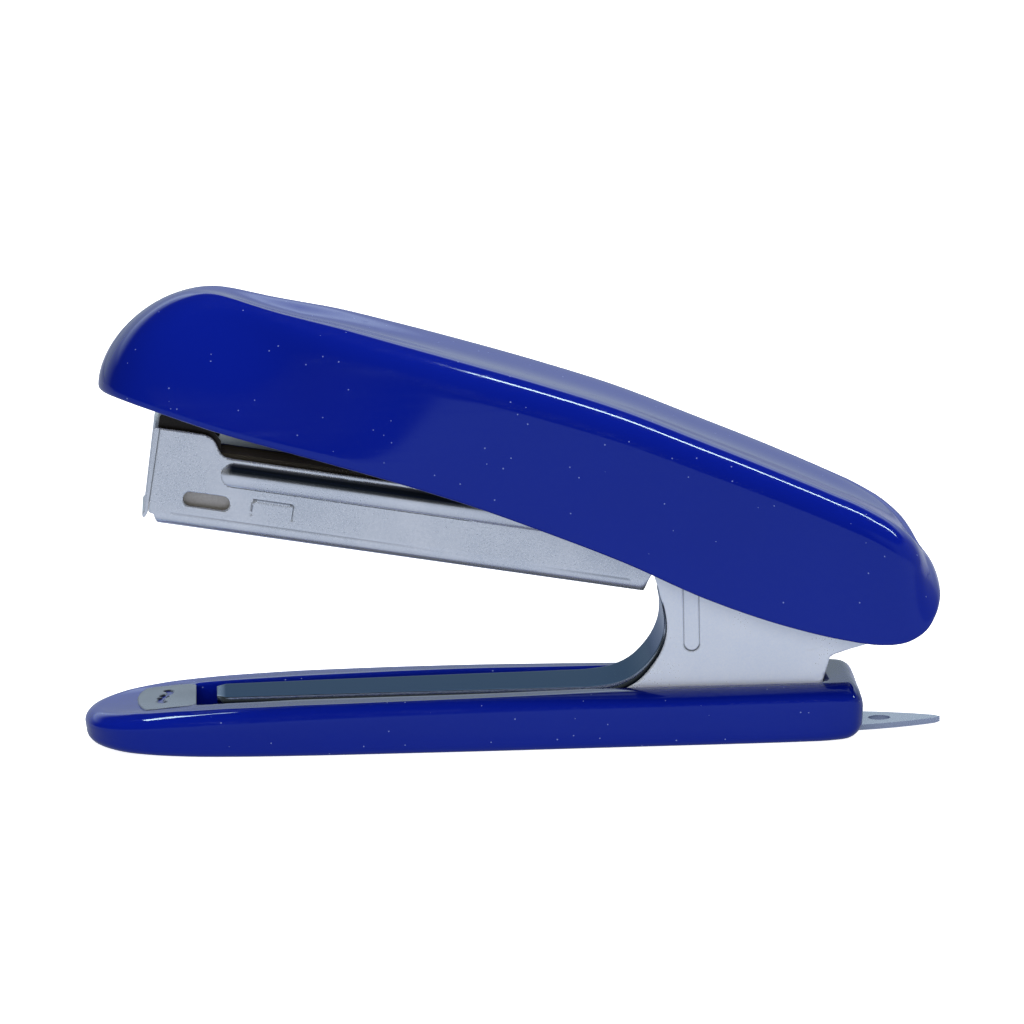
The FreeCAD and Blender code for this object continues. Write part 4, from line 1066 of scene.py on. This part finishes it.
class STAPLER_OT_springs(bpy.types.Operator):
    """Pusher coil, return leaf and lifting leaf"""
    bl_idname = "stapler.springs"
    bl_label = "Springs"

    def execute(self, context):
        size = context.scene.stapler_sizes
        bright = plated_sheet("polished spring steel", shades("#9A9A9A", "#C6C6C8"), 0.2)
        # Painted shade: the return leaf's near-black colour stands in for the shade inside the
        # handle.
        darkened_for_shade = plated_sheet("oiled spring steel", shades("#2E2B28", "#45413C"), 0.3)
        coil = coil_spring(bright, size.coil_turns)
        fit_piece(coil, "feeder", "spring_steel", "pusher_spring")
        x, z = to_row(COIL_ENDS[0], ROD_W)
        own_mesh(coil)
        x, z = to_row(*np.array(RETURN_LEAF).T)
        leaf = leaf_spring("return_leaf", np.column_stack([x, z]), darkened_for_shade,
                           size.return_leaf / MM)
        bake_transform(leaf)
        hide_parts("return_spring")
        leaf = leaf_spring("lift_leaf", LIFT_LEAF, bright, size.lift_leaf / MM)
        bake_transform(leaf)
        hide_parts("lift_spring")
        return {"FINISHED"}


class STAPLER_OT_metalwork(bpy.types.Operator):
    """Finishes of the CAD parts that are kept as they are"""
    bl_idname = "stapler.metalwork"
    bl_label = "Metalwork"

    def execute(self, context):
        finishes = {
            "plated_steel": plated_sheet("nickel-plated steel", shades("#D6DEE8", "#F4F7FB"),
                                         0.32),
            "dark_steel": plated_sheet("blackened steel", shades("#2A2724", "#4A4642"), 0.35),
            "spring_steel": plated_sheet("polished spring steel",
                                         shades("#9A9A9A", "#C6C6C8"), 0.2),
            "staple_wire": plated_sheet("glued staple wire", shades("#B4ACA2", "#D6D0C8"),
                                        0.4),
            "black_acetal": moulded_abs("moulded acetal", shades("#101012", "#161618")),
            # Painted shade: the feeder's dark warm colour stands in for the dark reflections and
            # shade on it under the handle.
            "feeder": plated_sheet("oiled feeder steel", shades("#4A443C", "#6E665A"), 0.24),
            "claw": plated_sheet("nickel-plated steel, claw", shades("#A8B2C8", "#BCC5D8"),
                                 0.25),
        }
        slots = {s["node"]: s["material_slot"] for s in frame["record"]["subparts"]}
        # Painted shade: the driver arm takes the blackened steel because it sits in the shade
        # inside the handle.
        slots.update(feeder_channel="feeder", remover_claw="claw", driver_arm="dark_steel")
        for name, obj in NODES.items():
            if slots[name] != "blue_plastic":
                obj.data.materials.clear()
                obj.data.materials.append(finishes[slots[name]])
        return {"FINISHED"}


class STAPLER_OT_stage(bpy.types.Operator):
    """Pale floor, soft light and camera"""
    bl_idname = "stapler.stage"
    bl_label = "Stage"

    def execute(self, context):
        scene = context.scene
        # Metres; the floor lies a hair under the base's feet.
        wide, front = 6.0, -0.75
        corners = ((-wide, front), (wide, front), (wide, wide), (-wide, wide))
        floor = put_mesh("floor", [(x / MM, y / MM, -0.02) for x, y in corners],
                         [(0, 1, 2, 3)], paper_floor(), False)
        world = bpy.data.worlds.new("studio")
        scene.world = world
        world.use_nodes = True
        studio_world(world.node_tree)
        add_area("streak strip", (0.85, 0.12, 0.9), (0.85, 0, 0.0), (1.1, 0.09), 7.5)
        low = add_area("base strip", (-0.3, 0.0, 0.9), (-0.3, 0, 0.0), (0.34, 0.2), 4.5)
        only = bpy.data.collections.new("lit by the base strip")
        only.objects.link(bpy.data.objects["base_skin"])
        low.light_linking.receiver_collection = only
        add_area("front fill", (-0.2, -1.2, 0.35), (0, 0, 0.03), (1.0, 0.6), 13.0, False)
        add_area("top fill", (0.3, 0.3, 1.2), (0, 0, 0.03), (1.0, 1.0), 12.0, False)
        place_camera()
        scene.view_settings.view_transform = "Standard"
        return {"FINISHED"}


class STAPLER_PT_panel(bpy.types.Panel):
    """Settings, and a button for every group of pieces"""
    bl_idname = "STAPLER_PT_panel"
    bl_label = "Stapler"
    bl_space_type = "VIEW_3D"
    bl_region_type = "UI"
    bl_category = "Stapler"

    def draw(self, context):
        for group in (context.scene.stapler_sizes, context.scene.stapler_colours):
            for key in type(group).__annotations__:
                self.layout.prop(group, key)
        for operator in OPERATORS:
            self.layout.operator(operator.bl_idname)


OPERATORS = (STAPLER_OT_covers, STAPLER_OT_magazine, STAPLER_OT_driver_guide, STAPLER_OT_frame,
             STAPLER_OT_anvil, STAPLER_OT_springs, STAPLER_OT_metalwork, STAPLER_OT_stage)
CLASSES = (StaplerSizes, StaplerColours, *OPERATORS, STAPLER_PT_panel)


def register():
    for cls in CLASSES:
        bpy.utils.register_class(cls)
    bpy.types.Scene.stapler_sizes = bpy.props.PointerProperty(type=StaplerSizes)
    bpy.types.Scene.stapler_colours = bpy.props.PointerProperty(type=StaplerColours)


def unregister():
    del bpy.types.Scene.stapler_colours
    del bpy.types.Scene.stapler_sizes
    for cls in reversed(CLASSES):
        bpy.utils.unregister_class(cls)


def main():
    """Registers the add-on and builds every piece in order."""
    register()
    bpy.ops.stapler.covers()
    bpy.ops.stapler.magazine()
    bpy.ops.stapler.driver_guide()
    bpy.ops.stapler.frame()
    bpy.ops.stapler.anvil()
    bpy.ops.stapler.springs()
    bpy.ops.stapler.metalwork()
    bpy.ops.stapler.stage()


if __name__ == "__main__":
    main()
